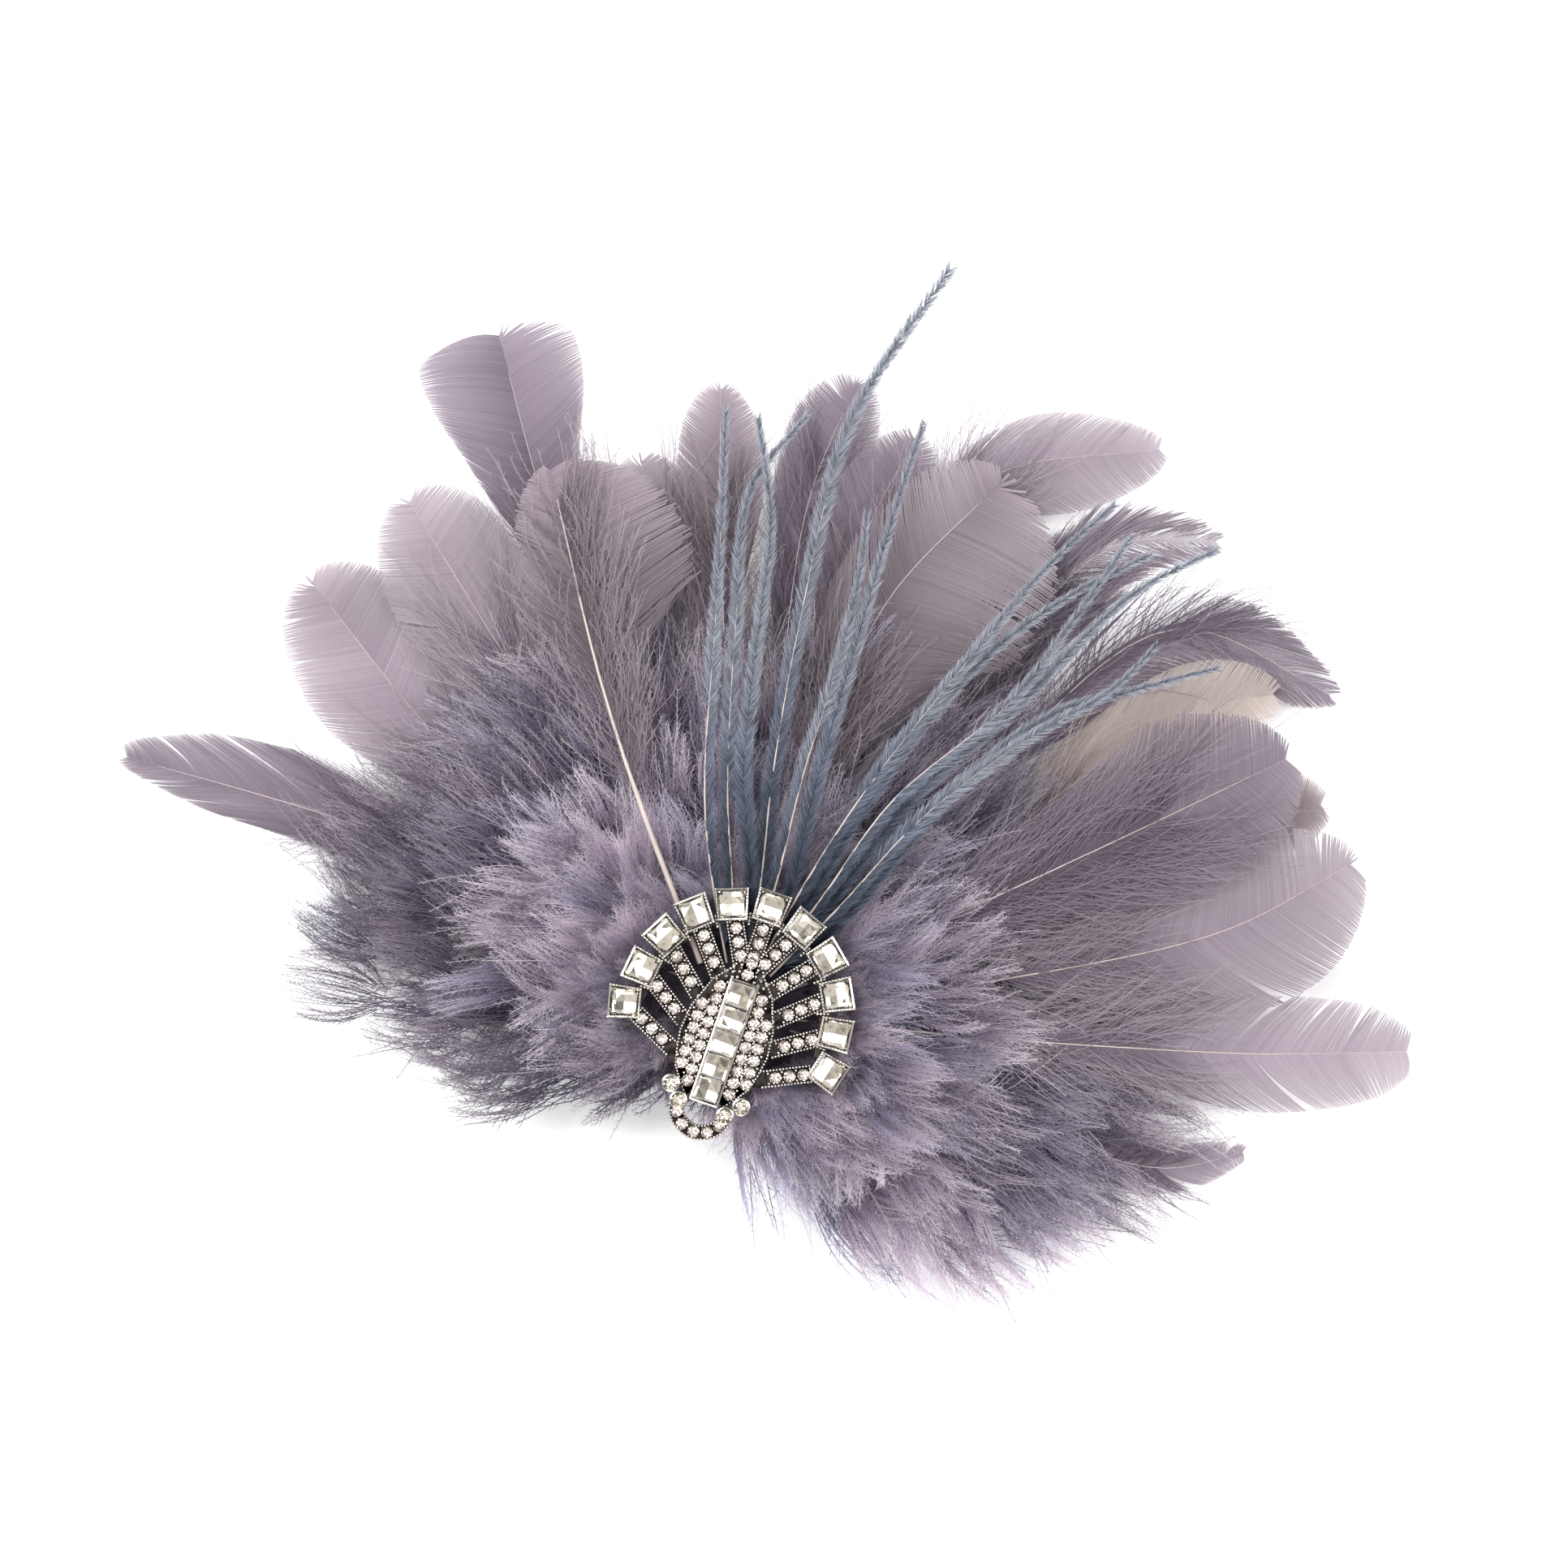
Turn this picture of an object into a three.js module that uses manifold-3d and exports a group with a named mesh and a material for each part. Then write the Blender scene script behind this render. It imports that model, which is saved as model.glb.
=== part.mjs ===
// Feather hair clip: a fan of dyed feathers and down behind a pierced shell brooch, on a felt pad and a flat clip.
// Millimetres, +Z up. The origin is on the clip's underside, below the centre of the brooch's rim.
// +Y runs from the brooch's loop to the middle of the fan. An angle is in degrees from +Y towards +X.
import * as THREE from 'three';
import { mergeVertices } from 'three/addons/utils/BufferGeometryUtils.js';
import Module from 'manifold-3d';

const wasm = await Module();
wasm.setup();

// Driving dimensions of the clip, the pad and the glue
const gap = 0.3;
const clipLength = 46;
const clipWidth = 9;
const clipHeight = 6.2;
const clipPlate = 1;
const clipJaw = 0.9;
const clipPinch = 0.1;
const padRadius = 14;
const padThickness = 1.5;
const glueRadius = 6.5;

// Driving dimensions of the fan
const fanReach = 106;
const vaneWidth = 28;
const herlReach = 100;
const herlWidth = 3.4;
const downReach = 70;
const rootRadius = 9;
const bladeThickness = 0.5;
const openPitch = 1.4;
const droopStart = 20;
const droopEnd = 72;
const lowerDownRise = 3.6;
const upperDownRise = 2.8;
const upperDownShare = 0.66;
const lockWidth = 7.5;

// Driving dimensions of the brooch
const rimRadius = 16.3;
const settingSide = 4.5;
const settingWall = 0.3;
const settingHeight = 2.8;
const stoneGap = 0.15;
const ribWidth = 2.6;
const ribHeight = 1.7;
const barLength = 19;
const barTop = 4.5;
const barHeight = 3.1;
const barStones = 5;
const fieldHalf = 8;
const fieldHeight = 1.9;
const paveRadius = 0.95;
const paveHeight = 0.6;
const pavePitch = 1.74;
const ribStonePitch = 2.35;
const innerPaveDrop = 2.6;
const outerPaveDrop = 6.6;
const loopDrop = 1;
const bezelRadius = 1.4;
const bezelHeight = 2.6;
const loopRadius = 3.9;
const loopWidth = 2.2;
const loopHeight = 1.9;
const floorThickness = 0.8;

// Heights that follow from them
const padBottom = clipHeight + gap;
const padTop = padBottom + padThickness;
const featherBottom = padTop + gap;
const rootPitch = bladeThickness + gap;
const levels = { outer: 0, lowerDown: 3, upper: 4, upperDown: 6, herl: 7 };
const levelCount = 9;
const broochBottom = featherBottom + levelCount * rootPitch;

// Finishes
const finish = (color, roughness, metalness) => new THREE.MeshStandardMaterial({ color, roughness, metalness });
const clipSteel = finish('#b9bbbf', 0.35, 1);
const feltGrey = finish('#57505f', 0.95, 0);
const darkGlue = finish('#22262f', 0.25, 0);
const antiqueSilver = finish('#8f8b88', 0.35, 1);
const clearStone = finish('#d9d8cc', 0.05, 0.1);
const mauveVane = finish('#a99fb2', 0.75, 0);
const duskVane = finish('#8f7f8c', 0.75, 0);
const creamVane = finish('#cdc3bf', 0.75, 0);
const downMauve = finish('#857c90', 0.95, 0);
const herlBlue = finish('#6c7a92', 0.8, 0);

const model = new THREE.Group();
const brooch = new THREE.Group();
brooch.position.z = broochBottom;
model.add(brooch);

function addPiece(group, name, geometry, material) {
  const mesh = new THREE.Mesh(geometry, material);
  mesh.name = name;
  group.add(mesh);
  return mesh;
}

// Closed meshes as solids that can be joined and cut
function solidOf(geometry) {
  const bare = geometry.clone();
  bare.deleteAttribute('normal');
  bare.deleteAttribute('uv');
  const merged = mergeVertices(bare, 1e-4);
  return new wasm.Manifold(new wasm.Mesh({
    numProp: 3,
    vertProperties: merged.attributes.position.array,
    triVerts: Uint32Array.from(merged.index.array),
  }));
}

function geometryOf(solid) {
  const mesh = solid.getMesh();
  const geometry = new THREE.BufferGeometry();
  geometry.setAttribute('position', new THREE.BufferAttribute(Float32Array.from(mesh.vertProperties), 3));
  geometry.setIndex(new THREE.BufferAttribute(Uint32Array.from(mesh.triVerts), 1));
  geometry.computeVertexNormals();
  return geometry;
}

const join = (solids) => solids.reduce((whole, next) => whole.add(next));

// The outer shell of a joined solid, with any pocket shut in between its parts filled
const filled = (solid) => solid.decompose().reduce((most, next) => (next.volume() > most.volume() ? next : most));

// A closed skin over rows of points; each row runs anticlockwise seen from where the rows are heading.
// The last sides of each row, as many as under says, have their diagonals mirrored, so that on a thin blade
// they run below those of the upper side and the two never cross.
function skin(rows, under = 0) {
  const count = rows[0].length;
  const index = [];
  for (let i = 0; i < rows.length - 1; i++) {
    for (let j = 0; j < count; j++) {
      const k = (j + 1) % count;
      const here = i * count;
      const next = here + count;
      const corners = [here + j, here + k, next + k, next + j];
      const [a, b, c, d] = j < count - under ? corners : [...corners.slice(1), corners[0]];
      index.push(a, b, c, a, c, d);
    }
  }
  const last = (rows.length - 1) * count;
  for (let j = 1; j < count - 1; j++) index.push(0, j + 1, j, last, last + j, last + j + 1);
  const geometry = new THREE.BufferGeometry();
  geometry.setAttribute('position', new THREE.Float32BufferAttribute(rows.flat(2), 3));
  geometry.setIndex(index);
  geometry.computeVertexNormals();
  return geometry;
}

// A block of any outline, standing on z = bottom
function block(points, bottom, height) {
  const shape = new THREE.Shape(points.map(([x, y]) => new THREE.Vector2(x, y)));
  const geometry = new THREE.ExtrudeGeometry(shape, { depth: height, bevelEnabled: false, curveSegments: 6 });
  return geometry.translate(0, 0, bottom);
}

const rectangle = (width, length) => [
  [-width / 2, -length / 2], [width / 2, -length / 2], [width / 2, length / 2], [-width / 2, length / 2],
];
const polygon = (radius, sides) => Array.from({ length: sides }, (_, i) => {
  const turn = (i + 0.5) / sides * 2 * Math.PI;
  return [radius * Math.cos(turn), radius * Math.sin(turn)];
});
const mirrored = (points) => [...points, ...points.map(([x, y]) => [-x, y]).reverse()];

function placed(geometry, x, y, degrees = 0) {
  return geometry.rotateZ(THREE.MathUtils.degToRad(-degrees)).translate(x, y, 0);
}

// Position of a point given by its angle and its distance from the origin
function polar(degrees, radius) {
  const turn = THREE.MathUtils.degToRad(degrees);
  return [radius * Math.sin(turn), radius * Math.cos(turn)];
}

// Clip: a flat spring folded back on itself, its lower plate flat on the surface
function hairClip() {
  const half = clipLength / 2;
  const mouth = clipPlate + clipJaw;
  const bow = clipHeight - clipPlate;
  const outline = [
    [-half, 0], [half, 0], [half, mouth + clipPlate], [half * 0.55, clipHeight], [-half * 0.82, clipHeight],
    [-half, clipHeight * 0.8],
  ];
  const hollow = [
    [-half + clipPlate, clipPlate], [-half + clipPlate, clipHeight * 0.7], [-half * 0.8, bow],
    [half * 0.52, bow], [half + clipPlate, mouth - clipPinch], [half + clipPlate, clipPlate],
  ];
  const upright = (points, width) => block(points, -width / 2, width).rotateX(Math.PI / 2);
  const body = solidOf(upright(outline, clipWidth)).subtract(solidOf(upright(hollow, clipWidth * 1.2)));
  return geometryOf(body);
}

addPiece(model, 'hair_clip', hairClip(), clipSteel);

// Pad and glue
addPiece(model, 'backing_pad', block(polygon(padRadius, 24), padBottom, padThickness), feltGrey);
addPiece(
  model,
  'glue_bed',
  block(polygon(glueRadius, 16), featherBottom, broochBottom - gap - featherBottom),
  darkGlue,
);

// Height of one of the levels that the feathers are stacked in, at a distance from the origin
const ramp = (x, from, to) => THREE.MathUtils.smoothstep(x, from, to);
const hump = (x, from, peak, to) => ramp(x, from, peak) * (1 - ramp(x, peak, to));
const broochEdge = rimRadius + settingSide / 2;
const upperReach = downReach * upperDownShare;
const lowerRise = (r) => lowerDownRise * hump(r, broochEdge, downReach * 0.6, downReach * 1.06);
const upperRise = (r) => upperDownRise * hump(r, broochEdge, upperReach * 0.8, upperReach * 1.3);
const pitchAt = (r) => rootPitch + (openPitch - rootPitch) * ramp(r, broochEdge, broochEdge * 1.9);

function levelZ(level, x, y) {
  const r = Math.hypot(x, y);
  const flat = featherBottom * (1 - ramp(r, droopStart, droopEnd)) + level * pitchAt(r);
  const overLower = level > levels.lowerDown ? lowerRise(r) : 0;
  const overUpper = level > levels.upperDown ? upperRise(r) : 0;
  return flat + overLower + overUpper;
}

// Blade: a flat feather with its quill as a ridge, in one level
const vaneStations = [0, 0.14, 0.28, 0.42, 0.55, 0.68, 0.8, 0.9, 0.97, 1];
const vaneSection = (left, right, shaft) => [
  [left, 0.55], [shaft, 0.75], [0, 1], [-shaft, 0.75], [-right, 0.55], [0, 0],
];
const herlStations = [0, 0.11, 0.22, 0.35, 0.48, 0.61, 0.75, 0.88, 1];
const herlSection = (left, right) => [[left, 0.5], [0, 1], [-right, 0.5], [0, 0]];

function vaneHalf(share, row) {
  const along = (share - row.bare) / (1 - row.bare);
  if (along <= 0) return 0;
  if (along < row.widest) return ramp(along, -0.05, row.widest);
  return Math.sqrt(Math.max(0, 1 - ((along - row.widest) / (1 - row.widest)) ** 2));
}

function blade(row, width, quill, stations, sectionOf) {
  const route = row.route.map(([degrees, radius]) => new THREE.Vector3(...polar(degrees, radius), 0));
  const curve = new THREE.CatmullRomCurve3(route);
  const rows = stations.map((share) => {
    const at = curve.getPointAt(share);
    const ahead = curve.getTangentAt(share);
    const half = vaneHalf(share, row) * width / 2;
    const shaft = quill * (1 - 0.75 * share) / 2;
    const left = Math.max(shaft * 1.4, half * (1 + row.lean));
    const right = Math.max(shaft * 1.4, half * (1 - row.lean));
    return sectionOf(left, right, shaft).map(([aside, height]) => {
      const x = at.x - ahead.y * aside;
      const y = at.y + ahead.x * aside;
      return [x, y, levelZ(row.level, x, y) + height * bladeThickness];
    });
  });
  return skin(rows, 2);
}

// Feathers. root, knee and tip are angles; kneeOut and reach are shares of fanReach; width is a share of
// vaneWidth; bare is the length without a vane; widest is where the vane is broadest; lean moves it left.
const outerFeathers = [
  { name: 'feather_far_left', root: -78, knee: -83.5, kneeOut: 0.6, tip: -87, reach: 0.99, width: 0.52, bare: 0.3, widest: 0.42, lean: -0.25 },
  { name: 'feather_left', root: -66, knee: -67, kneeOut: 0.6, tip: -64, reach: 0.9, width: 0.86, bare: 0.3, widest: 0.72, lean: 0 },
  { name: 'feather_left_upper', root: -54, knee: -52.5, kneeOut: 0.6, tip: -52, reach: 0.9, width: 0.8, bare: 0.3, widest: 0.74, lean: 0 },
  { name: 'feather_curled', root: -42, knee: -40, kneeOut: 0.8, tip: -38.5, reach: 1.06, width: 0.88, bare: 0.58, widest: 0.84, lean: 0.08 },
  { name: 'feather_behind_left', root: -30, knee: -29, kneeOut: 0.55, tip: -29, reach: 0.83, width: 0.62, bare: 0.3, widest: 0.7, lean: 0 },
  { name: 'feather_spoon', root: -19, knee: -21, kneeOut: 0.72, tip: -20.5, reach: 0.92, width: 0.5, bare: 0.5, widest: 0.66, lean: 0 },
  { name: 'feather_top', root: -9, knee: -11, kneeOut: 0.75, tip: -8, reach: 0.95, width: 0.5, bare: 0.4, widest: 0.8, lean: 0 },
  { name: 'feather_top_right', root: 1, knee: -4, kneeOut: 0.7, tip: -1.5, reach: 0.89, width: 0.5, bare: 0.4, widest: 0.75, lean: 0 },
  { name: 'feather_leaning', root: 4, knee: 5.5, kneeOut: 0.84, tip: 18.5, reach: 1.04, width: 0.56, bare: 0.55, widest: 0.6, lean: -0.1 },
  { name: 'feather_wispy', root: 15, knee: 20, kneeOut: 0.87, tip: 27.5, reach: 1, width: 0.46, bare: 0.35, widest: 0.45, lean: 0 },
  { name: 'feather_hooked', root: 24, knee: 30, kneeOut: 0.85, tip: 44, reach: 1, width: 0.48, bare: 0.35, widest: 0.55, lean: 0 },
  { name: 'feather_cream', root: 38, knee: 38, kneeOut: 0.8, tip: 41, reach: 0.93, width: 0.54, bare: 0.3, widest: 0.7, lean: 0 },
  { name: 'feather_behind_right', root: 52, knee: 50, kneeOut: 0.7, tip: 52, reach: 0.93, width: 0.56, bare: 0.3, widest: 0.75, lean: 0 },
  { name: 'feather_lower_right', root: 92, knee: 92, kneeOut: 0.66, tip: 86.5, reach: 0.79, width: 0.32, bare: 0.3, widest: 0.5, lean: 0 },
];
const upperFeathers = [
  { name: 'feather_broad_top', root: 0, knee: 1, kneeOut: 0.62, tip: 8, reach: 0.88, width: 1.15, bare: 0.3, widest: 0.72, lean: -0.35, step: 0 },
  { name: 'feather_broad_right', root: 48, knee: 47, kneeOut: 0.65, tip: 46.5, reach: 0.9, width: 0.95, bare: 0.25, widest: 0.72, lean: 0, step: 1 },
  { name: 'feather_right', root: 72, knee: 62, kneeOut: 0.72, tip: 57.5, reach: 0.94, width: 1.0, bare: 0.35, widest: 0.6, lean: 0, step: 0 },
  { name: 'feather_right_lower', root: 80, knee: 76, kneeOut: 0.74, tip: 74.5, reach: 1, width: 0.66, bare: 0.35, widest: 0.68, lean: 0, step: 1 },
];
const quilledFeather = {
  name: 'feather_long_quill', root: -55, knee: -41, kneeOut: 0.54, tip: -38, reach: 0.84,
  width: 0.95, bare: 0.5, widest: 0.6, lean: -0.4, step: 0,
};
const sublayers = 3;
const outerQuill = 1;
const longQuill = 1.3;
const finishes = {
  feather_spoon: duskVane,
  feather_broad_top: duskVane,
  feather_long_quill: duskVane,
  feather_cream: creamVane,
  feather_behind_right: creamVane,
};

function flatFeather(row, level, quill) {
  const route = [
    [row.root, rootRadius],
    [row.knee + (row.root - row.knee) * 0.25, fanReach * row.kneeOut * 0.5],
    [row.knee, fanReach * row.kneeOut],
    [row.tip, fanReach * row.reach],
  ];
  const geometry = blade({ ...row, route, level }, vaneWidth * row.width, quill, vaneStations, vaneSection);
  addPiece(model, row.name, geometry, finishes[row.name] ?? mauveVane);
}

outerFeathers.forEach((row, i) => flatFeather(row, levels.outer + i % sublayers, outerQuill));
upperFeathers.forEach((row) => flatFeather(row, levels.upper + row.step, outerQuill));
flatFeather(quilledFeather, levels.herl, longQuill);

// Herls. out and turn pairs are shares of herlReach and angles, from the brooch to the tip.
const herls = [
  { turns: [-29, -27, -22, -20.5, -20], outs: [0.2, 0.33, 0.6, 0.8, 0.93] },
  { turns: [-20.5, -21, -19, -17.5, -12], outs: [0.2, 0.33, 0.6, 0.8, 0.93] },
  { turns: [-12.5, -17, -15.5, -15, -17], outs: [0.2, 0.37, 0.6, 0.76, 0.92] },
  { turns: [-7.8, -10, -9.7, -8, -2.8], outs: [0.2, 0.36, 0.6, 0.92, 1.2] },
  { turns: [-1.2, -3.1, -2.6, -3.3, -4.4], outs: [0.2, 0.38, 0.54, 0.71, 0.8] },
  { turns: [5.5, 0.5, -0.9, -1.4, -1.3], outs: [0.2, 0.36, 0.6, 0.84, 0.96] },
  { turns: [9.5, 11.2, 14.3, 16.2, 17.9], outs: [0.2, 0.38, 0.62, 0.85, 0.98] },
  { turns: [14.5, 12.5, 15.7, 19.6, 23.5], outs: [0.21, 0.38, 0.64, 0.81, 0.96] },
  { turns: [18.5, 17.5, 22.7, 21.8, 20.8], outs: [0.21, 0.4, 0.64, 0.8, 0.96] },
  { turns: [22, 20.5, 23.5, 24.7, 27.3], outs: [0.21, 0.42, 0.63, 0.89, 1.03] },
  { turns: [26, 24.6, 27.6, 30.5, 30], outs: [0.22, 0.4, 0.59, 0.76, 0.865] },
  { turns: [30, 25.5, 28.1, 32.3, 35.8], outs: [0.22, 0.43, 0.67, 0.79, 0.92] },
];
const herlQuill = 0.7;
const herlShape = { bare: 0.12, widest: 0.4, lean: 0 };

herls.forEach(({ turns, outs }, i) => {
  const knees = turns.map((degrees, k) => [degrees, herlReach * outs[k]]);
  const route = [[turns[0], rootRadius * 1.25], ...knees];
  const level = levels.herl + (i + 1) % 2;
  const name = `herl_${String(i + 1).padStart(2, '0')}`;
  const geometry = blade({ ...herlShape, route, level }, herlWidth, herlQuill, herlStations, herlSection);
  addPiece(model, name, geometry, herlBlue);
});

// Down: a band of fluff round the brooch with pointed locks fused to it.
// turn is an angle, reach is the outline there as a share of downReach.
const downOutline = [
  { turn: -168, reach: 0.27 }, { turn: -150, reach: 0.32 }, { turn: -133, reach: 0.42 },
  { turn: -124, reach: 0.58 }, { turn: -113, reach: 0.7 }, { turn: -105, reach: 0.82 },
  { turn: -99, reach: 0.98 }, { turn: -93, reach: 1.03 }, { turn: -80, reach: 0.98 },
  { turn: -55, reach: 0.93 }, { turn: -30, reach: 0.92 }, { turn: 0, reach: 0.86 },
  { turn: 30, reach: 0.9 }, { turn: 60, reach: 0.95 }, { turn: 85, reach: 1 },
  { turn: 108, reach: 1 }, { turn: 116, reach: 0.88 }, { turn: 125, reach: 0.76 },
  { turn: 136, reach: 0.58 }, { turn: 148, reach: 0.4 }, { turn: 165, reach: 0.27 },
];

function outlineAt(degrees) {
  const k = Math.min(
    downOutline.length - 2,
    Math.max(0, downOutline.findIndex((row) => row.turn > degrees) - 1),
  );
  const [from, to] = [downOutline[k], downOutline[k + 1]];
  const share = THREE.MathUtils.clamp((degrees - from.turn) / (to.turn - from.turn), 0, 1);
  return downReach * (from.reach + (to.reach - from.reach) * share);
}

// Point of a down layer: out is its distance from the origin, height a share of the layer's thickness there
function downPoint(layer, degrees, out, height) {
  const [x, y] = polar(degrees, out);
  const thickness = pitchAt(out) - gap + layer.rise(out);
  return [x, y, levelZ(layer.level, x, y) + height * thickness];
}

function lock(layer, degrees, from, to, width, low, high, twist) {
  const steps = [0, 0.4, 0.75, 1];
  const widths = [0.7, 1, 0.72, 0.06];
  const rows = steps.map((share, k) => {
    const out = from + (to - from) * share;
    const turn = degrees + twist * share * share;
    const spread = THREE.MathUtils.radToDeg(width * widths[k] / 2 / out);
    const middle = low + (high - low) * 0.3;
    const top = high + (middle - high) * share * share;
    const bottom = low + (middle - low) * share * share * 0.9;
    return [
      downPoint(layer, turn - spread, out, middle),
      downPoint(layer, turn, out, top),
      downPoint(layer, turn + spread, out, middle),
      downPoint(layer, turn, out, bottom),
    ];
  });
  return solidOf(skin(rows));
}

function downMass(layer, fromTurn, toTurn) {
  const count = layer.columns;
  const rows = Array.from({ length: count + 1 }, (_, i) => {
    const degrees = fromTurn + (toTurn - fromTurn) * i / count;
    const edge = outlineAt(degrees) * layer.share * layer.band;
    const inner = Math.min(layer.inner, edge * 0.8);
    const between = (share) => inner + (edge - inner) * share;
    return [
      downPoint(layer, degrees, between(1), 0.3),
      downPoint(layer, degrees, between(0.72), 0.72),
      downPoint(layer, degrees, between(0.4), 0.8),
      downPoint(layer, degrees, between(0.15), 0.78),
      downPoint(layer, degrees, between(0), 0.6),
      downPoint(layer, degrees, between(0), 0.05),
      downPoint(layer, degrees, between(0.35), 0.05),
      downPoint(layer, degrees, between(0.7), 0.05),
    ];
  });
  const locks = [];
  layer.tiers.forEach((tier, t) => {
    for (let i = 0; i < tier.count; i++) {
      const degrees = fromTurn + (toTurn - fromTurn) * (i + 0.5) / tier.count;
      const reach = outlineAt(degrees) * layer.share * (1 - 0.06 * ((i + t) % 2));
      const width = lockWidth * tier.width * Math.min(1, reach / (downReach * layer.share * 0.7));
      const twist = tier.twist * (i % 2 === 0 ? 1 : -1);
      const from = Math.max(layer.inner, reach * tier.from);
      locks.push(lock(layer, degrees, from, reach * tier.to, width, tier.low, tier.high, twist));
    }
  });
  return geometryOf(filled(join([solidOf(skin(rows)), ...locks])));
}

const lowerLayer = {
  level: levels.lowerDown, rise: lowerRise, share: 1, band: 0.84, inner: rootRadius * 1.2, foot: 14, columns: 13,
  tiers: [
    { count: 11, from: 0.55, to: 1, width: 1.25, low: 0.08, high: 0.6, twist: 3 },
    { count: 7, from: 0.3, to: 0.74, width: 1.2, low: 0.2, high: 0.93, twist: 4 },
  ],
};
const upperLayer = {
  level: levels.upperDown, rise: upperRise, share: upperDownShare, band: 0.82, inner: rootRadius * 1.3, foot: 40, columns: 10,
  tiers: [
    { count: 9, from: 0.5, to: 1, width: 0.95, low: 0.1, high: 0.7, twist: 4 },
    { count: 5, from: 0.42, to: 0.8, width: 0.85, low: 0.2, high: 0.93, twist: 5 },
  ],
};
const parting = 2;
for (const [layerName, layer] of [['lower', lowerLayer], ['upper', upperLayer]]) {
  const left = downMass(layer, -180 + layer.foot, -parting);
  const right = downMass(layer, parting, 180 - layer.foot);
  addPiece(model, `down_${layerName}_left`, left, downMauve);
  addPiece(model, `down_${layerName}_right`, right, downMauve);
}

// Cut stones: eight-sided with a table, a crown, a girdle and a pavilion
function cutStone(outline, crown, girdle, pavilion, table) {
  const ring = (share, z) => outline.map(([x, y]) => [x * share, y * share, z]);
  const layers = [ring(0.12, 0), ring(1, pavilion), ring(1, pavilion + girdle)];
  return skin([...layers, ring(table, pavilion + girdle + crown)]);
}

function squareOutline(side) {
  const half = side / 2;
  const corner = side * 0.1;
  return [
    [half, -half + corner], [half, half - corner], [half - corner, half], [-half + corner, half],
    [-half, half - corner], [-half, -half + corner], [-half + corner, -half], [half - corner, -half],
  ];
}

const pocketSide = settingSide - 2 * settingWall;
const stoneSide = pocketSide - 2 * stoneGap;
const stoneCrown = 0.6;
const stoneGirdle = 0.3;
const squareStone = () => cutStone(
  squareOutline(stoneSide),
  stoneCrown,
  stoneGirdle,
  settingHeight - floorThickness - stoneGap - stoneGirdle,
  0.62,
);

function paveStone(x, y, z) {
  const outline = polygon(paveRadius, 8);
  const ring = (share, height) => outline.map(([px, py]) => [x + px * share, y + py * share, height]);
  return solidOf(skin([ring(1, z - floorThickness / 2), ring(0.55, z + paveHeight)]));
}

// Rim of the brooch. turn is the setting's angle, out its distance as a share of rimRadius,
// foot is where its rib meets the axis, as a share of the bar's length below the bar's top.
const rim = [
  { turn: 0, out: 1.035, foot: 0 },
  { turn: 20.5, out: 1.01, foot: 0 },
  { turn: 41, out: 1, foot: 0.27 },
  { turn: 61.8, out: 0.97, foot: 0.49 },
  { turn: 83.4, out: 0.965, foot: 0.68 },
  { turn: 103.9, out: 1.04, foot: 0.87 },
];
const settings = [
  ...rim.slice(1).reverse().map((row) => ({ ...row, turn: -row.turn })),
  ...rim,
];
const settingPlace = (row) => polar(row.turn, rimRadius * row.out);
const footOf = (row) => [0, barTop - barLength * row.foot];

function beam(from, to, width, height) {
  const length = Math.hypot(to[0] - from[0], to[1] - from[1]);
  const turn = THREE.MathUtils.radToDeg(Math.atan2(to[0] - from[0], to[1] - from[1]));
  const middle = [(from[0] + to[0]) / 2, (from[1] + to[1]) / 2];
  return solidOf(placed(block(rectangle(width, length), 0, height), middle[0], middle[1], turn));
}

// Half of the field beside the bar, from its top to its foot, as shares of fieldHalf and barLength
const fieldEdge = [
  [0, 0.1], [0.33, 0.08], [0.64, -0.09], [0.84, -0.28], [0.96, -0.51], [1, -0.68],
  [0.78, -0.77], [0.68, -0.87], [0.58, -0.97], [0, -1],
].map(([x, y]) => [x * fieldHalf, barTop + y * barLength]);

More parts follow.
